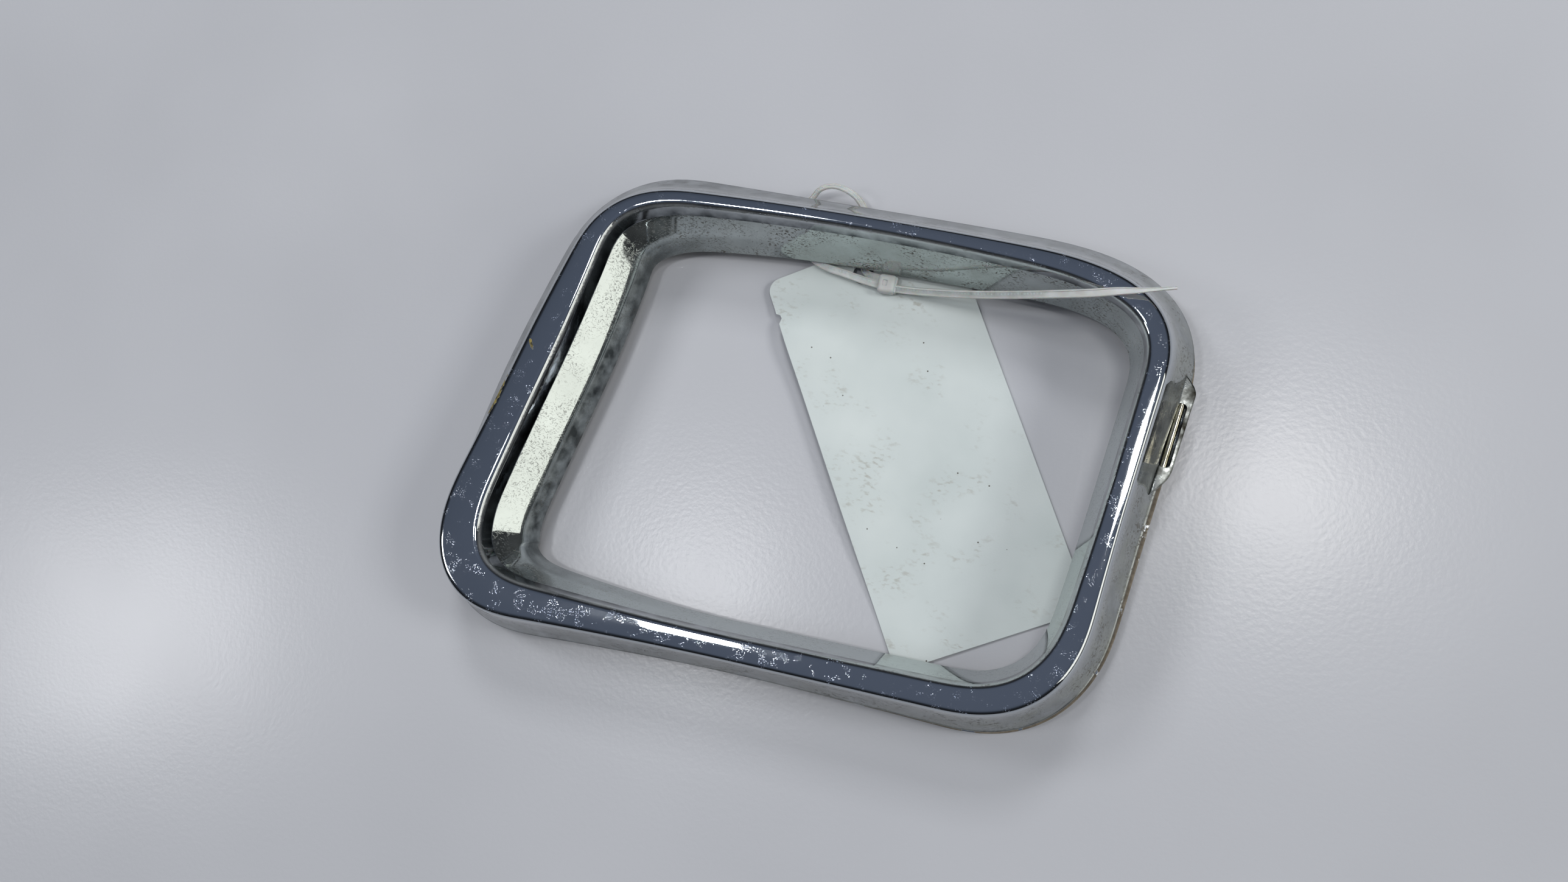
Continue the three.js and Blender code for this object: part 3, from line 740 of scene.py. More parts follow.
def chrome_material(name, colours, film, speck_mm, tint, blisters=()):
    """Chrome plate on moulded ABS: a mirror with faint ripple, dulled by dried dirt and scuffs."""
    material, tree, shader, place = new_material(name, Metallic=1.0)
    grime = add_node(tree, "ShaderNodeAttribute", attribute_name="grime").outputs["Fac"]
    scuff = add_node(tree, "ShaderNodeAttribute", attribute_name="scuff").outputs["Fac"]
    # Painted shade: this attribute marks where the plate is painted dark for shade and dark
    # reflections
    tarnish = add_node(tree, "ShaderNodeAttribute", attribute_name="tarnish").outputs["Fac"]
    bent = add_node(tree, "ShaderNodeTexNoise", {
        "Vector": place, "Scale": grain(3), "Detail": 2.0})
    pull = add_node(tree, "ShaderNodeVectorMath", {0: bent.outputs["Color"], 1: (0.004,) * 3},
                    operation="MULTIPLY").outputs[0]
    moved = add_node(tree, "ShaderNodeVectorMath", {0: place, 1: pull}).outputs[0]
    squeezed = add_node(tree, "ShaderNodeMapping", {
        "Vector": moved, "Scale": (0.45, 1.3, 1.0), "Rotation": (0, 0, 0.35)}).outputs[0]
    # Dried dirt in curled flecks up to a millimetre long
    flecks = noise(tree, squeezed, speck_mm, 0.55, 0.61, 5.0)
    patch = noise(tree, place, 11, 0.36, 0.6, 3.0)
    dirt = math_of(tree, "MULTIPLY", math_of(tree, "MULTIPLY", flecks, patch), grime)
    # Thin film of dust that follows the dirt
    haze = math_of(tree, "MULTIPLY", noise(tree, place, 9, 0.15, 0.65, 6.0), grime)
    haze = math_of(tree, "MULTIPLY", haze, film)
    # Scuffs: pale nicks in the plate
    nicks = noise(tree, place, 0.4, 0.60, 0.66, 2.0)
    spread = noise(tree, place, 3.5, 0.53, 0.66, 4.0)
    marks = math_of(tree, "MULTIPLY", math_of(tree, "MULTIPLY", nicks, spread), scuff)
    marks = math_of(tree, "MULTIPLY", marks, 0.7)
    # Painted shade: the tint is darkened towards near-black where that attribute is set
    dim = math_of(tree, "MULTIPLY", noise(tree, place, 6, 0.1, 0.6, 4.0), tarnish)
    pale = mixed(tree, marks, mixed(tree, dim, tint, clear("#2c3236")), clear("#9db2da"))
    dusty = mixed(tree, haze, pale, (*colours.grime, 1))
    final = mixed(tree, dirt, dusty, clear("#4a443a"))
    # Places where the plate has blistered through to the plastic
    for x, y, long, wide, turn in blisters:
        blister = blot(tree, place, x, y, long, wide, turn)
        rust = mixed(tree, noise(tree, place, 1.1, 0.4, 0.6, 4.0), clear("#2f2c1b"),
                     clear("#8b7d42"))
        final = mixed(tree, blister, final, rust)
        dirt = math_of(tree, "MAXIMUM", dirt, blister)
    dull = math_of(tree, "MAXIMUM", dirt, haze)
    solid = math_of(tree, "SUBTRACT", 1.0, math_of(tree, "MAXIMUM", dull, math_of(
        tree, "MULTIPLY", marks, 0.75)))
    smear = noise(tree, place, 22, 0.35, 0.7, 4.0)
    base = blended(tree, smear, 0.02, 0.07)
    rough = blended(tree, math_of(tree, "MAXIMUM", dirt, marks), base, 0.55)
    ripple = add_node(tree, "ShaderNodeTexNoise", {
        "Vector": place, "Scale": grain(2.5), "Detail": 2.0}).outputs[0]
    height = math_of(tree, "ADD", math_of(tree, "MULTIPLY", ripple, 0.12),
                     math_of(tree, "MULTIPLY", math_of(tree, "MAXIMUM", dirt, marks), 0.6))
    connect(tree, shader, height, 0.12, 0.4, Base_Color=final, Metallic=solid, Roughness=rough)
    return material


def blot(tree, place, x, y, long, wide, turn):
    """One inside a ragged oval, nought outside; all in mm but for the turn."""
    moved = add_node(tree, "ShaderNodeMapping", {
        "Vector": place, "Location": (x * MM, y * MM, 0), "Rotation": (0, 0, turn),
        "Scale": (long * MM, wide * MM, 0.1)}, vector_type="TEXTURE").outputs[0]
    far = add_node(tree, "ShaderNodeVectorMath", {0: moved}, operation="LENGTH").outputs["Value"]
    ragged = add_node(tree, "ShaderNodeTexNoise", {
        "Vector": place, "Scale": grain(1.6), "Detail": 5.0}).outputs[0]
    total = add_node(tree, "ShaderNodeMath", {0: far, 1: ragged}, operation="ADD").outputs[0]
    return add_node(tree, "ShaderNodeMapRange", {
        "Value": total, "From Min": 1.28, "From Max": 1.2}).outputs["Result"]


def bare_plastic_material(colours):
    """Unplated ABS with torn plating: dull brown, dusty, with islands of chrome left on it."""
    material, tree, shader, place = new_material("bare_abs_with_torn_plate", IOR=1.53)
    stain = noise(tree, place, 7, 0.3, 0.7, 5.0)
    colour = mixed(tree, stain, (*colours.bare_plastic, 1), clear("#8a8170"))
    fine = noise(tree, place, 1.2, 0.35, 0.7, 4.0)
    colour = mixed(tree, math_of(tree, "MULTIPLY", fine, 0.5), colour, clear("#4c453a"))
    islands = noise(tree, place, 4.5, 0.60, 0.615, 5.0)
    colour = mixed(tree, islands, colour, clear("#d4d8d8"))
    rough = blended(tree, islands, blended(tree, fine, 0.5, 0.75), 0.12)
    height = math_of(tree, "ADD", islands, math_of(tree, "MULTIPLY", fine, 0.4))
    connect(tree, shader, height, 0.35, 0.2, Base_Color=colour, Metallic=islands,
            Roughness=rough)
    return material


def rubber_material(name, code):
    """Soft moulded rubber: black with a grey bloom."""
    material, tree, shader, place = new_material(name, IOR=1.52, Metallic=0.0)
    bloom = noise(tree, place, 2.5, 0.35, 0.75, 4.0)
    connect(tree, shader, bloom, 0.2, 0.1,
            Base_Color=mixed(tree, bloom, clear(code), clear("#3a3a39")),
            Roughness=blended(tree, bloom, 0.6, 0.85))
    return material


def stained_metal_material(name, clean, stained, low, high, mm):
    """Bright metal that has yellowed and dulled in patches."""
    material, tree, shader, place = new_material(name, Metallic=1.0)
    stain = noise(tree, place, mm, 0.35, 0.65, 5.0)
    fine = noise(tree, place, 0.5, 0.3, 0.7, 3.0)
    connect(tree, shader, fine, 0.1, 0.1,
            Base_Color=mixed(tree, stain, clear(clean), clear(stained)),
            Roughness=blended(tree, stain, low, high))
    return material


def nylon_material(colours):
    """Natural nylon 66, injection moulded: milky and part see-through, waxy sheen."""
    material, tree, shader, place = new_material(
        "natural_nylon", IOR=1.53, Transmission_Weight=0.4, Subsurface_Weight=0.3,
        Subsurface_Scale=0.001)
    cloud = noise(tree, place, 3, 0.3, 0.7, 3.0)
    tree.links.new(mixed(tree, cloud, (*colours.nylon, 1), clear("#dfe1dc")),
                   shader.inputs["Base Color"])
    tree.links.new(blended(tree, cloud, 0.28, 0.42), shader.inputs["Roughness"])
    return material


def card_material(colours):
    """Coated card: smooth off-white with smudges, hair-fine marks and dark specks."""
    material, tree, shader, place = new_material("coated_card", IOR=1.46)
    wide = noise(tree, place, 30, 0.35, 0.7, 3.0)
    colour = mixed(tree, wide, (*colours.card, 1), clear("#bfc8c6"))
    area = noise(tree, place, 16, 0.52, 0.70, 4.0)
    turned = add_node(tree, "ShaderNodeMapping", {
        "Vector": place, "Rotation": (0, 0, 0.9), "Scale": (0.7, 1.4, 1.0)}).outputs[0]
    hairs = noise(tree, turned, 1.6, 0.53, 0.68, 8.0)
    smudge = math_of(tree, "MULTIPLY", area, hairs)
    colour = mixed(tree, math_of(tree, "MULTIPLY", smudge, 0.75), colour, clear("#9d9c92"))
    dots = add_node(tree, "ShaderNodeTexVoronoi", {"Vector": place, "Scale": grain(7)})
    dot = add_node(tree, "ShaderNodeMapRange", {
        "Value": dots.outputs["Distance"], "From Min": 0.045, "From Max": 0.03})
    colour = mixed(tree, dot.outputs["Result"], colour, clear("#55534c"))
    fibre = noise(tree, place, 0.6, 0.3, 0.7, 4.0)
    connect(tree, shader, fibre, 0.12, 0.1, Base_Color=colour,
            Roughness=blended(tree, wide, 0.30, 0.5))
    return material


def floor_material(colours):
    """Lacquered board: plain and pale with a lightly rippled gloss."""
    material, tree, shader, place = new_material("lacquered_board", IOR=1.4)
    tone = noise(tree, place, 160, 0.3, 0.7, 3.0)
    ripple = noise(tree, place, 1.6, 0.25, 0.75, 2.0)
    connect(tree, shader, ripple, 0.2, 0.1,
            Base_Color=mixed(tree, tone, (*colours.floor, 1), clear("#b1b3b7")),
            Roughness=blended(tree, tone, 0.2, 0.26))
    return material


# ------------------------------------------------------------------------------------------------
# Sections


def catch_notch(outline):
    """One beside the catch, nought elsewhere, with steep ends."""
    return eased((NOTCH_HALF - outline.gap(CATCH_PLACE)) / NOTCH_END)


def bezel_line(outline, sizes):
    """Face shell with its flared skirt and inner lip."""
    section = outline.section
    half = section["face"] / 2
    notch = catch_notch(outline)
    foot_height = SKIRT_FOOT + notch * NOTCH_RISE
    foot = skirt_offset(section, foot_height)
    edge = foot + section["ledge"] * 0.3 * (1 - notch)
    middle_height = (FACE_TOP + SKIRT_FOOT) / 2
    middle = skirt_offset(section, middle_height) - section["flare"] * 0.04
    wall = sizes.skirt_wall / MM
    roll = half - section["flare"] * 0.11
    slant = section["inset"] * 0.25
    return softened([
        (edge, foot_height, 0.12, 2),
        (edge, foot_height + 1, 0.3, 3),
        (foot - 0.15, foot_height + 1.3, 0.5, 3),
        (middle, middle_height, 4.5, 6),
        (roll + 0.4, FACE_TOP - 0.25, 1.9, 12),
        (half * 0.05, FACE_TOP + 0.02, 3.2, 8),
        (-half + 0.5, FACE_TOP - 0.05, 0.9, 6),
        (-half - GAP - 0.2, FACE_TOP - 1.3, 0.9, 6),
        (-half - GAP - slant, FACE_TOP - LIP_DEPTH, 0.6, 4),
        (-half + 1.1 - slant, FACE_TOP - LIP_DEPTH, 0.15, 2),
        (-half + 1.1, FACE_TOP - 2.9, 0.5, 3),
        (half - wall, FACE_TOP - 3.0, 0.8, 3),
        (middle - wall, middle_height, 3, 4),
        (foot - wall, foot_height, 0.1, 2),
    ])


def liner_line(outline, sizes):
    """Funnel wall behind the face; a cove along the left side."""
    section = outline.section
    half = section["face"] / 2
    top = FACE_TOP - LIP_DEPTH - GAP
    wall = sizes.liner_wall / MM
    shares = (1 - np.cos(np.linspace(0, math.pi, 25))) / 2
    heights = top - (top - LINER_FOOT) * shares
    inner = [liner_offset(section, h) for h in heights]
    corners = [(inner[0] + 0.05, top, 0.25, 3)]
    for share, setback in ((0.07, 1.2), (0.5, 1.6), (0.68, 1.6), (0.85, 1.6)):
        height = top - (top - LINER_FOOT) * share
        corners.append((liner_offset(section, height), height, setback, 5))
    corners.append((inner[-1], LINER_FOOT, 0.35, 4))
    outer = [offset + wall for offset in inner]
    corners.append((outer[-1], LINER_FOOT, 0.3, 3))
    for offset, height in list(zip(outer, heights))[-4:2:-4]:
        corners.append((offset, height, 5, 2))
    corners.append((outer[0], top, 0.2, 2))
    return softened(corners)


def carrier_line(outline, sizes):
    """Rear frame: a plate with a rib."""
    section = outline.section
    wall = sizes.liner_wall / MM
    inner = liner_offset(section, PLATE_BOTTOM) + wall + GAP
    inner_top = liner_offset(section, PLATE_TOP) + wall + GAP
    rib_low = liner_offset(section, PLATE_TOP) + wall + 1.1
    rib_high = liner_offset(section, RIB_TOP) + wall + 1.1
    outer = skirt_offset(section, SKIRT_FOOT) + section["ledge"]
    return softened([
        (inner, PLATE_BOTTOM, 0.2, 2),
        (outer, PLATE_BOTTOM, 0.4, 4),
        (outer, PLATE_TOP, 0.5, 4),
        (rib_low + 1.6, PLATE_TOP, 0.3, 2),
        (rib_high + 1.6, RIB_TOP, 0.3, 2),
        (rib_high, RIB_TOP, 0.3, 2),
        (rib_low, PLATE_TOP, 0.15, 2),
        (inner_top, PLATE_TOP, 0.15, 2),
    ])


def seal_line(outline, sizes):
    """Rubber strip between the skirt's foot and the rear frame."""
    foot = skirt_offset(outline.section, SKIRT_FOOT)
    wall = sizes.skirt_wall / MM
    return softened([
        (foot - wall - GAP, PLATE_TOP + GAP, 0.25, 2),
        (foot + GAP, PLATE_TOP + GAP, 0.4, 3),
        (foot + GAP, SKIRT_FOOT - GAP, 0.4, 3),
        (foot - wall - GAP, SKIRT_FOOT - GAP, 0.25, 2),
    ])


def spot_at(outline, place, offset, height):
    """Point in mm beside the outline, and the angle of the outline there."""
    point, tangent, outward, _ = outline.at(place)
    flat = point + outward * offset
    return (flat[0], flat[1], height), math.atan2(tangent[1], tangent[0])


def screw_spots(outline):
    """Foot of each screw's boss."""
    spots = []
    for place in SCREW_PLACES:
        section = outline.at(place)[3]
        offset = skirt_offset(section, 18.5) - GAP - 2.6
        spot, turn = spot_at(outline, place, offset, 0)
        spots.append((spot, (0, 0, turn)))
    return spots


def post_spots(outline):
    """Middle of each rear post."""
    spots = []
    for place in POST_PLACES:
        section = outline.at(place)[3]
        spot, turn = spot_at(outline, place, section["face"] / 4, 0)
        spots.append((spot, (0, 0, turn)))
    return spots


# ------------------------------------------------------------------------------------------------
# Operators: one for each piece or group of like pieces


class SURROUND_OT_bezel(bpy.types.Operator):
    """Make the chromed face shell with its flared skirt"""

    bl_idname = "surround.make_bezel"
    bl_label = "Make bezel"

    def execute(self, context):
        sizes = context.scene.surround_sizes
        outline = ring_outline(context)
        line = bezel_line(outline, sizes)
        heights = line[0][..., 1]
        offsets = line[0][..., 0]
        half = outline.section["face"][:, None] / 2
        on_skirt = np.clip((FACE_TOP - 3 - heights) / 4, 0, 1) * (offsets > 0)
        right = np.clip(np.interp(outline.place, (1.2, 2.0, 4.2, 5.0), (0.45, 1, 1, 0.45)), 0, 1)
        grime = on_skirt * right[:, None] * 0.75
        grime = np.maximum(grime, 0.5 * np.exp(-((offsets + half + GAP) / 0.35) ** 2))
        scuffs = sum(strength * outline.near(place, spread) for place, spread, strength in SCUFFS)
        on_face = np.clip((heights - (FACE_TOP - 1.6)) / 0.8, 0, 1)
        scuff = np.clip(scuffs + 0.12, 0, 1)[:, None] * on_face
        # Painted shade on the skirt, darkest on the left, lightest on the right, for the shaded
        # floor it reflects
        left = np.interp(outline.place, (0, 1.2, 2, 4.6, 5.4, 8), (0.7, 0.5, 0.4, 0.6, 0.9, 0.8))
        # Painted shade on the lip below the face's inner edge
        lip_shade = (offsets < half * -0.4) * np.clip((FACE_TOP - 1.6 - heights) / 1.2, 0, 1)
        mesh = ring_mesh("bezel", outline, line, grime=grime, scuff=scuff,
                         tarnish=np.maximum(left[:, None] * on_skirt, lip_shade))
        colours = context.scene.surround_colours
        chrome = chrome_material("chrome_plated_abs_bezel", colours, 0.9, 1.0,
                                 (*colours.chrome, 1), BLISTERS)
        piece = new_object("bezel", mesh, chrome)
        kept(piece, "surround", "chrome", "front_bezel")
        return {"FINISHED"}


class SURROUND_OT_liner(bpy.types.Operator):
    """Make the chromed inner wall"""

    bl_idname = "surround.make_liner"
    bl_label = "Make liner"

    def execute(self, context):
        sizes = context.scene.surround_sizes
        outline = ring_outline(context)
        line = liner_line(outline, sizes)
        heights = line[0][..., 1]
        dirty = np.interp(outline.place, (0, 0.2, 1.3, 1.8, 2.6, 3.6, 4.6, 5.2, 6.2, 7.2, 7.8, 8),
                          (0.85, 1, 1, 0.6, 0.25, 0.3, 0.35, 0.3, 0.45, 0.4, 0.7, 0.85))
        top = FACE_TOP - LIP_DEPTH - GAP
        rim = np.exp(-((heights - top) / 0.5) ** 2) + np.exp(-((heights - LINER_FOOT) / 1.3) ** 2)
        grime = np.clip(dirty[:, None] + rim * 0.5 * (dirty[:, None] + 0.3), 0, 1)
        # Painted shade: the lower cove and a band along the top edge, under the lip, are painted
        # dark
        low = np.clip((top - 9 - heights) / 2, 0, 1)
        cove = outline.section["cove"][:, None]
        mesh = ring_mesh("liner", outline, line, grime=grime, scuff=np.zeros_like(heights),
                         tarnish=np.clip(cove * low + (heights > top - 0.9), 0, 1))
        colours = context.scene.surround_colours
        chrome = chrome_material("chrome_plated_abs_liner", colours, 0.30, 0.55,
                                 clear("#bdc5c5"))
        piece = new_object("liner", mesh, chrome)
        kept(piece, "surround", "chrome", "inner_liner")
        return {"FINISHED"}


class SURROUND_OT_carrier(bpy.types.Operator):
    """Make the unplated rear frame with its posts and the lug"""

    bl_idname = "surround.make_carrier"
    bl_label = "Make rear frame"

    def execute(self, context):
        sizes = context.scene.surround_sizes
        outline = ring_outline(context)
        ring = ring_mesh("rear_frame", outline, carrier_line(outline, sizes))
        post = lathe_mesh("post", [(BORE, 1.5), (3.9, 1.5), (4.2, 1.8), (4.2, 6.0),
                                   (BORE, 6.0)], 40)
        parts = [(ring, Matrix.Identity(4))]
        for spot, _ in post_spots(outline):
            parts.append((post, shifted(spot)))
        section = outline.at(LUG_PLACE)[3]
        spot, turn = spot_at(outline, LUG_PLACE, section["flare"] / 2 - 1, 0)
        lug = prism_mesh("lug", [(-5.25, 0.6), (5.25, 0.6), (5.25, 6.2), (-5.25, 6.2)], -1, 1,
                         0.25, 2)
        window = prism_mesh("window", [(-3.45, 1.5), (3.45, 1.5), (3.45, 5), (-3.45, 5)], -2, 2)
        lug = carved("lug", lug, [window])
        upright = Matrix.Rotation(math.pi / 2, 4, "X")
        where = shifted(spot) @ Matrix.Rotation(turn, 4, "Z") @ upright
        parts.append((lug, where))
        mesh = merged("rear_frame", parts)
        crisp(mesh, 50)
        piece = new_object("rear_frame", mesh,
                           bare_plastic_material(context.scene.surround_colours))
        kept(piece, "surround", "carrier", "rear_carrier")
        return {"FINISHED"}


class SURROUND_OT_seal(bpy.types.Operator):
    """Make the rubber strip under the skirt"""

    bl_idname = "surround.make_seal"
    bl_label = "Make seal"

    def execute(self, context):
        outline = ring_outline(context)
        mesh = ring_mesh("seal", outline, seal_line(outline, context.scene.surround_sizes))
        piece = new_object("seal", mesh, rubber_material("extruded_rubber", "#161617"))
        kept(piece, "surround", "seal", "edge_seal")
        return {"FINISHED"}


class SURROUND_OT_catch(bpy.types.Operator):
    """Make the side catch with its pocket, and the steel pin that lies in it"""

    bl_idname = "surround.make_catch"
    bl_label = "Make catch"

    def execute(self, context):
        outline = ring_outline(context)
        section = outline.at(CATCH_PLACE)[3]
        skirt = section["face"] / 2 + section["flare"] + section["ledge"]
        offset = skirt + CATCH_PROUD - CATCH_DEPTH
        spot, turn = spot_at(outline, CATCH_PLACE, offset, 0)
        where = shifted(spot) @ Matrix.Rotation(turn, 4, "Z")
        shape = [(-19, -1.6), (19, -1.6)]
        for step in range(9):
            t = step / 8
            shape.append((19 - 9 * t, -1.6 + 4.3 * math.sin(t * math.pi / 2)))
        for step in range(9):
            t = 1 - step / 8
            shape.append((-19 + 6 * t, -1.6 + 4.6 * math.sin(t * math.pi / 2)))
        # The two sweeps share a point, which the prism can't have twice
        shape = [p for i, p in enumerate(shape) if p not in shape[:i]]
        block = prism_mesh("catch", shape, 9.5, 14.2, 0.9, 4)
        pocket = prism_mesh("pocket", rounded_outline(20, 3.5, 1.4, 6), 11.0, 16)
        pocket.transform(Matrix.Translation((0, -0.0001, 0)))
        block = carved("catch", block, [pocket])
        block.transform(where)
        worn = stained_metal_material("worn_chrome_plate", "#a3a8a6", "#3d3b32", 0.2, 0.5, 4)
        piece = new_object("catch", block, worn)
        kept(piece, "surround", "catch", "side_catch")
        profile = [(0, -12.6), (0.8, -12.6), (1.1, -12.3), (1.1, 12.3), (0.8, 12.6), (0, 12.6)]
        bar = lathe_mesh("pin", profile, 24)
        along = Matrix.Rotation(math.pi / 2, 4, "Y")
        rest = shifted((0, -0.1, 12.9))
        bar.transform(where @ rest @ along)
        steel = stained_metal_material("drawn_steel", "#d8d4c4", "#8f8868", 0.08, 0.3, 6)
        piece = new_object("pin", bar, steel)
        kept(piece, "surround", "pin", "catch_pin")
        return {"FINISHED"}


class SURROUND_OT_fixings(bpy.types.Operator):
    """Make the rear screws, the liner's spring clips and the pads on the posts"""

    bl_idname = "surround.make_fixings"
    bl_label = "Make fixings"

    def execute(self, context):
        outline = ring_outline(context)
        top = PLATE_BOTTOM - GAP
        profile = [(0, top - 1.6), (1.3, top - 1.6), (2.1, top - 1.35), (2.55, top - 0.8),
                   (2.6, top - 0.35), (2.5, top), (1.1, top)]
        for turn in range(9):
            height = top + 1 + turn * 1.05
            profile += [(1.1, height), (1.25, height + 0.25), (1.1, height + 0.5)]
        profile += [(0.3, top + 10.9), (0, top + 11)]
        screw = lathe_mesh("screw", profile, 28)
        cross = [prism_mesh("slot", rounded_outline(2.9, 0.62, 0.2, 2), top - 3, top - 0.7)
                 for _ in range(2)]
        cross[1].transform(Matrix.Rotation(math.pi / 2, 4, "Z"))
        screw = carved("screw", screw, cross)
        zinc = stained_metal_material("zinc_plated_steel", "#c3c4c2", "#a39f84", 0.22, 0.4, 3)
        piece = repeated("screws", screw, screw_spots(outline), zinc)
        kept(piece, "surround", "zinc", *[f"rear_screw_{i}" for i in range(1, 7)])

        spring = stained_metal_material("spring_steel_strip", "#9fa2a6", "#6d6a62", 0.2, 0.4, 3)
        parts = []
        for place in CLIP_PLACES:
            parts.append((clip_mesh(outline, place), Matrix.Identity(4)))
        mesh = merged("clips", parts)
        crisp(mesh)
        piece = new_object("clips", mesh, spring)
        kept(piece, "surround", "clip", *[f"liner_clip_{i}" for i in range(1, 7)])

        pad = lathe_mesh("pad", [(BORE, 0), (3.6, 0), (4.0, 0.3), (4.0, 0.9), (3.7, PAD_TOP),
                                 (BORE, PAD_TOP)], 40)
        piece = repeated("pads", pad, post_spots(outline),
                         rubber_material("moulded_rubber", "#1c1c1c"))
        kept(piece, "surround", "pad", *[f"post_pad_{i}" for i in range(1, 5)])
        return {"FINISHED"}


def clip_mesh(outline, place):
    """Spring clip folded over the rear frame's rib."""
    point, tangent, outward, section = outline.at(place)

    def rib(height):
        return liner_offset(section, height) + 1.5 + 1.1

    foot = RIB_TOP - 3
    line = [
        (rib(foot) - 0.3, foot), (rib(RIB_TOP) - 0.3, RIB_TOP + 0.3),
        (rib(RIB_TOP) + 1.9, RIB_TOP + 0.3), (rib(foot) + 1.9, foot),
        (rib(foot) + 2.4, foot), (rib(RIB_TOP) + 2.4, RIB_TOP + 0.8),
        (rib(RIB_TOP) - 0.8, RIB_TOP + 0.8), (rib(foot) - 0.8, foot),
    ]
    mesh = prism_mesh("clip", line, -3.5, 3.5, 0.12, 2)
    columns = Matrix((
        (outward[0], 0, tangent[0], point[0] * MM),
        (outward[1], 0, tangent[1], point[1] * MM),
        (0, 1, 0, 0),
        (0, 0, 0, 1),
    ))
    mesh.transform(columns)
    if columns.to_3x3().determinant() < 0:
        mesh.flip_normals()
    return mesh


def tie_route(outline):
    """Points in mm and tilts of the strap."""
    section = outline.at(LUG_PLACE)[3]
    lug, _ = spot_at(outline, LUG_PLACE, section["flare"] / 2 - 1, 0)
    corner = outline.at(TAIL_CORNER)[0]
    lug = np.array(lug)
    points = [(lug + (x, y, z), tilt) for x, y, z, tilt in LOOP_ROUTE]
    for share, aside, climb in TAIL_ROUTE:
        flat = lug[:2] * (1 - share) + corner * share
        height = TAIL_START + (FACE_TOP - TAIL_START) * climb
        points.append((np.array((flat[0], flat[1] + aside, height)), 42 * (1 - climb / 1.2)))
    return points, lug


def catmull(points, shares):
    """Centripetal Catmull-Rom curve through points at shares of their count."""
    count = len(points)
    result = []
    for share in shares:
        along = share * (count - 1)
        i = min(int(along), count - 2)
        weight = along - i
        p1, p2 = points[i], points[i + 1]
        p0 = points[i - 1] if i > 0 else 2 * p1 - p2
        p3 = points[i + 2] if i + 2 < count else 2 * p2 - p1
        d1, d2, d3 = (max(np.linalg.norm(b - a) ** 0.5, 1e-4)
                      for a, b in ((p0, p1), (p1, p2), (p2, p3)))
        t1 = ((p1 - p0) / d1 - (p2 - p0) / (d1 + d2) + (p2 - p1) / d2) * d2
        t2 = ((p2 - p1) / d2 - (p3 - p1) / (d2 + d3) + (p3 - p2) / d3) * d2
        c2 = -3 * p1 + 3 * p2 - 2 * t1 - t2
        c3 = 2 * p1 - 2 * p2 + t1 + t2
        result.append(p1 + t1 * weight + c2 * weight ** 2 + c3 * weight ** 3)
    return np.array(result)


def strap_frames(outline, count):
    """Points, directions along, across and up for the strap, and its share of the way."""
    route, _ = tie_route(outline)
    shares = np.linspace(0, 1, count)
    points = catmull([p for p, _ in route], shares)
    tilts = np.interp(shares * (len(route) - 1), range(len(route)), [t for _, t in route])
    ahead = np.gradient(points, axis=0)
    ahead /= np.linalg.norm(ahead, axis=1)[:, None]
    level = np.stack([-ahead[:, 1], ahead[:, 0], np.zeros(count)], 1)
    level /= np.linalg.norm(level, axis=1)[:, None]
    up = np.cross(ahead, level)
    angle = np.radians(tilts)[:, None]
    across = level * np.cos(angle) + up * np.sin(angle)
    up = np.cross(ahead, across)
    return points, ahead, across, up, shares


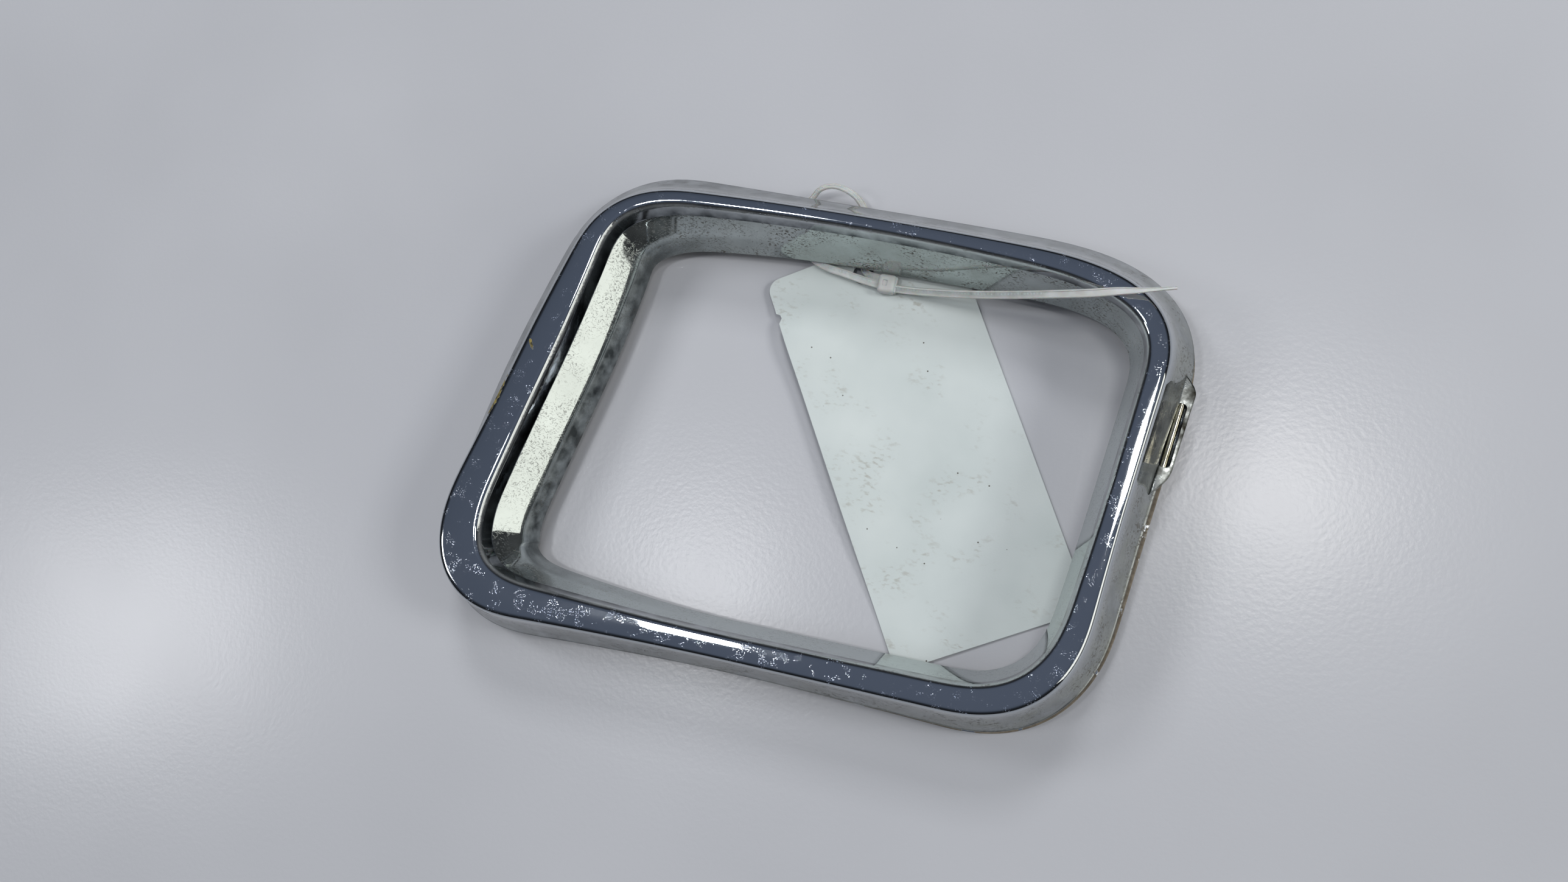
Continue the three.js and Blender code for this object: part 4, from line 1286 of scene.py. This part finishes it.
class SURROUND_OT_tie(bpy.types.Operator):
    """Make the cable tie: strap, teeth and head"""

    bl_idname = "surround.make_tie"
    bl_label = "Make cable tie"

    def execute(self, context):
        sizes = context.scene.surround_sizes
        outline = ring_outline(context)
        points, ahead, across, up, shares = strap_frames(outline, STRAP_STATIONS)
        wide = sizes.strap_width / MM / 2
        taper = np.clip((shares - 0.9) / 0.1, 0, 1)
        taper = 1 - 0.65 * taper * taper * (3 - 2 * taper)
        section = [(-1, -0.3), (-0.86, -0.5), (0.86, -0.5), (1, -0.3), (1, 0.3), (0.86, 0.5),
                   (0.66, 0.5), (0.6, 0.3), (-0.6, 0.3), (-0.66, 0.5), (-0.86, 0.5), (-1, 0.3)]
        rows = []
        for side, rise in section:
            rows.append(points + across * (side * wide * taper)[:, None] + up * rise)
        grid = np.stack(rows, 1)
        count, width = grid.shape[:2]
        faces = []
        for i in range(count - 1):
            for j in range(width):
                k = (j + 1) % width
                faces.append((i * width + j, i * width + k, (i + 1) * width + k,
                              (i + 1) * width + j))
        faces.append(tuple(range(width))[::-1])
        faces.append(tuple(range((count - 1) * width, count * width)))
        strap = bpy.data.meshes.new("strap")
        strap.from_pydata((grid.reshape(-1, 3) * MM).tolist(), [], faces)
        work = bmesh.new()
        work.from_mesh(strap)
        bmesh.ops.recalc_face_normals(work, faces=work.faces)
        work.to_mesh(strap)
        work.free()
        crisp(strap, 50)

        steps = np.linalg.norm(np.diff(points, axis=0), axis=1)
        travelled = np.concatenate([[0], np.cumsum(steps)])
        spots = []
        pitch = sizes.tooth_pitch / MM
        for distance in np.arange(6, travelled[-1] * 0.8, pitch):
            i = int(np.searchsorted(travelled, distance))
            turn = Matrix((ahead[i], across[i], up[i])).transposed().to_euler()
            spots.append((points[i] + up[i] * 0.3 + across[i] * 0.3, tuple(turn)))
        tooth = prism_mesh("tooth", [(-0.32, -0.12), (0.2, -0.12), (0.2, 0.02), (-0.12, 0.17),
                                     (-0.32, 0.17)], -0.35, 0.35)
        tooth.transform(Matrix.Rotation(math.pi / 2, 4, "X"))
        nylon = nylon_material(context.scene.surround_colours)
        teeth = repeated("teeth", tooth, spots, nylon)

        _, lug = tie_route(outline)
        centre = Vector(lug + HEAD_PLACE) * MM
        head = rounded_box("head", (6, 6.2, 3.9), 1.3, 5)
        slot = rounded_box("slot", (7, 2.9, 1.5), 0.15, 1)
        slot.transform(shifted((0, 0, 0.3)))
        window = rounded_box("window", (1.6, 2.0, 0.8), 0.2, 1)
        window.transform(shifted((-0.6, 0, 2.0)))
        head = carved("head", head, [slot, window])
        collar = rounded_box("collar", (1.1, 5.2, 3.0), 0.35, 3)
        parts = [(strap, Matrix.Identity(4)), (teeth.data, Matrix.Identity(4)),
                 (head, Matrix.Translation(centre)),
                 (collar, Matrix.Translation(centre + Vector((2.7, 0, -0.2)) * MM))]
        mesh = merged("cable_tie", parts)
        bpy.data.objects.remove(teeth)
        piece = new_object("tie", mesh, nylon)
        kept(piece, "tie", "nylon", "cable_tie")
        return {"FINISHED"}


class SURROUND_OT_tag(bpy.types.Operator):
    """Make the blank card tag, lifted at its hole and slightly curled"""

    bl_idname = "surround.make_tag"
    bl_label = "Make tag"

    def execute(self, context):
        sizes = context.scene.surround_sizes
        outline = ring_outline(context)
        _, lug = tie_route(outline)
        hole = lug + HOLE_PLACE
        half = sizes.tag_width / MM / 2
        top, long = HOLE_INSET, sizes.tag_length / MM
        edge = []

        def arc(cx, cy, radius, start, steps=8):
            for step in range(steps + 1):
                angle = math.radians(start + 90 * step / steps)
                edge.append((cx + radius * math.cos(angle), cy + radius * math.sin(angle)))

        arc(half - 11, top - 11, 11, 0)
        arc(-half + 4.5, top - 4.5, 4.5, 90)
        edge += [(-half, -2.6), (-half + 1.1, -3.4), (-half + 1.3, -4.8), (-half, -6.4)]
        arc(-half + 3.2, top - long + 3.2, 3.2, 180)
        arc(half - 3.2, top - long + 3.2, 3.2, 270)
        ring = [(HOLE_RADIUS * math.cos(a), HOLE_RADIUS * math.sin(a))
                for a in (2 * math.pi * k / 32 for k in range(32))]
        mesh = sheet_mesh("tag", edge, ring, 3.0)
        vertices = np.array([v.co for v in mesh.vertices])
        x, y = vertices[:, 0] / MM, vertices[:, 1] / MM

        def rise(value, low, high):
            return eased((value - low) / (high - low))

        height = 0.25 + 1.5 * rise(y, -34, -6)
        height += 3.2 * rise(-x, half * 0.2, half) * rise(y, -114, -64) * (1 - rise(y, -16, 2))
        height += 0.12 * np.sin(y * 0.07 + 1) * np.sin(x * 0.1 + 0.4) + 0.12
        vertices[:, 2] = height * MM
        mesh.vertices.foreach_set("co", vertices.astype(np.float32).reshape(-1))
        place = Matrix.Translation(Vector(hole) * MM) @ Matrix.Rotation(sizes.tag_turn, 4, "Z")
        mesh.transform(place)
        piece = new_object("tag", mesh, card_material(context.scene.surround_colours))
        modifier = piece.modifiers.new("thickness", "SOLIDIFY")
        modifier.thickness = 0.45 * MM
        modifier.offset = 1.0
        thick = shown("tag", piece)
        piece.modifiers.clear()
        piece.data = thick
        crisp(thick, 50)
        kept(piece, "tag", "card", "parts_tag")
        return {"FINISHED"}


def sheet_mesh(name, edge, hole, spacing):
    """Flat sheet in mm with a hole, split finely so that it can bend."""
    edge_array = np.array(edge)
    low, high = edge_array.min(0), edge_array.max(0)
    dense = []
    for loop in (edge, hole):
        closed = []
        for start, end in zip(loop, loop[1:] + loop[:1]):
            pieces = max(1, int(math.dist(start, end) / spacing))
            for k in range(pieces):
                t = k / pieces
                closed.append((start[0] + (end[0] - start[0]) * t,
                               start[1] + (end[1] - start[1]) * t))
        dense.append(closed)
    points = [Vector(p) for loop in dense for p in loop]
    edges, start = [], 0
    for loop in dense:
        edges += [(start + i, start + (i + 1) % len(loop)) for i in range(len(loop))]
        start += len(loop)
    rim = np.array([p[:] for p in points])
    xs = np.arange(low[0] + spacing / 2, high[0], spacing)
    ys = np.arange(low[1] + spacing / 2, high[1], spacing)
    for x in xs:
        for y in ys:
            if math.hypot(x, y) > HOLE_RADIUS + spacing * 0.4 and np.min(
                    np.hypot(rim[:, 0] - x, rim[:, 1] - y)) > spacing * 0.4:
                points.append(Vector((x, y)))
    spots, _, faces, _, _, _ = delaunay_2d_cdt(points, edges, [], 0, 1e-5)
    inside = bpy.data.meshes.new(name)
    kept_faces = []
    for face in faces:
        centre = sum((spots[i] for i in face), Vector((0, 0))) / len(face)
        if math.hypot(*centre) > 3.45 and within(centre, dense[0]):
            kept_faces.append(face)
    used = sorted({i for face in kept_faces for i in face})
    number = {old: new for new, old in enumerate(used)}
    inside.from_pydata([(spots[i][0] * MM, spots[i][1] * MM, 0) for i in used], [],
                       [[number[i] for i in face] for face in kept_faces])
    return inside


def within(point, loop):
    """True if a point is inside a closed line."""
    result = False
    for (x1, y1), (x2, y2) in zip(loop, loop[1:] + loop[:1]):
        if (y1 > point[1]) != (y2 > point[1]):
            if point[0] < (x2 - x1) * (point[1] - y1) / (y2 - y1) + x1:
                result = not result
    return result


class SURROUND_OT_stage(bpy.types.Operator):
    """Make the floor, the soft lights, the room's tone and the camera"""

    bl_idname = "surround.make_stage"
    bl_label = "Make stage"

    def execute(self, context):
        scene = context.scene
        work = bmesh.new()
        bmesh.ops.create_grid(work, x_segments=8, y_segments=8, size=FLOOR_HALF)
        mesh = bpy.data.meshes.new("floor")
        work.to_mesh(mesh)
        work.free()
        floor = new_object("floor", mesh, floor_material(scene.surround_colours))

        for name, place, sides, power, code, glossy in LAMPS:
            data = bpy.data.lights.new(name, "AREA")
            data.shape = "RECTANGLE"
            data.size, data.size_y = sides
            data.energy = power
            data.color = linear(code)
            lamp = bpy.data.objects.new(name, data)
            scene.collection.objects.link(lamp)
            lamp.location = place
            lamp.rotation_euler = (-Vector(place)).to_track_quat("-Z", "Y").to_euler()
            lamp.visible_glossy = glossy

        scene.view_settings.view_transform = "Standard"
        world = bpy.data.worlds.new("soft_room")
        scene.world = world
        world.use_nodes = True
        tree = world.node_tree
        tree.nodes.clear()
        direction = add_node(tree, "ShaderNodeTexCoord").outputs["Generated"]
        height = add_node(tree, "ShaderNodeSeparateXYZ", {"Vector": direction}).outputs["Z"]
        ramp = add_node(tree, "ShaderNodeValToRGB", {"Fac": height})
        ramp.color_ramp.elements[0].position = ROOM_TONES[0][0]
        ramp.color_ramp.elements[0].color = clear(ROOM_TONES[0][1])
        ramp.color_ramp.elements[1].position = ROOM_TONES[-1][0]
        ramp.color_ramp.elements[1].color = clear(ROOM_TONES[-1][1])
        for position, code in ROOM_TONES[1:-1]:
            ramp.color_ramp.elements.new(position).color = clear(code)
        background = add_node(tree, "ShaderNodeBackground", {
            "Color": ramp.outputs["Color"], "Strength": ROOM_STRENGTH})
        add_node(tree, "ShaderNodeOutputWorld", {"Surface": background.outputs[0]})

        data = bpy.data.cameras.new("camera")
        data.sensor_width = 36
        data.lens = CAMERA_LENS
        data.clip_start = 0.01
        camera = bpy.data.objects.new("camera", data)
        scene.collection.objects.link(camera)
        turn = Matrix(CAMERA_TURN).to_4x4()
        camera.matrix_world = Matrix.Translation(CAMERA_PLACE) @ turn
        scene.camera = camera
        return {"FINISHED"}


class SURROUND_PT_panel(bpy.types.Panel):
    """Lists the pieces"""

    bl_idname = "SURROUND_PT_panel"
    bl_label = "Mirror surround"
    bl_space_type = "VIEW_3D"
    bl_region_type = "UI"
    bl_category = "Mirror surround"

    def draw(self, context):
        for group in (context.scene.surround_sizes, context.scene.surround_colours):
            column = self.layout.column(align=True)
            for name in group.__annotations__:
                column.prop(group, name)
        for operator in OPERATORS:
            self.layout.operator(operator.bl_idname)


OPERATORS = (
    SURROUND_OT_stage, SURROUND_OT_bezel, SURROUND_OT_liner, SURROUND_OT_carrier,
    SURROUND_OT_seal, SURROUND_OT_catch, SURROUND_OT_fixings, SURROUND_OT_tie, SURROUND_OT_tag,
)
CLASSES = (SurroundSizes, SurroundColours, *OPERATORS, SURROUND_PT_panel)


def register():
    """Registers the classes and puts the settings on the scene."""
    for item in CLASSES:
        bpy.utils.register_class(item)
    bpy.types.Scene.surround_sizes = bpy.props.PointerProperty(type=SurroundSizes)
    bpy.types.Scene.surround_colours = bpy.props.PointerProperty(type=SurroundColours)


def unregister():
    """Takes the settings and the classes away."""
    del bpy.types.Scene.surround_colours
    del bpy.types.Scene.surround_sizes
    for item in reversed(CLASSES):
        bpy.utils.unregister_class(item)


def main():
    """Makes everything in order."""
    register()
    for operator in OPERATORS:
        group, name = operator.bl_idname.split(".")
        getattr(getattr(bpy.ops, group), name)()


if __name__ == "__main__":
    main()
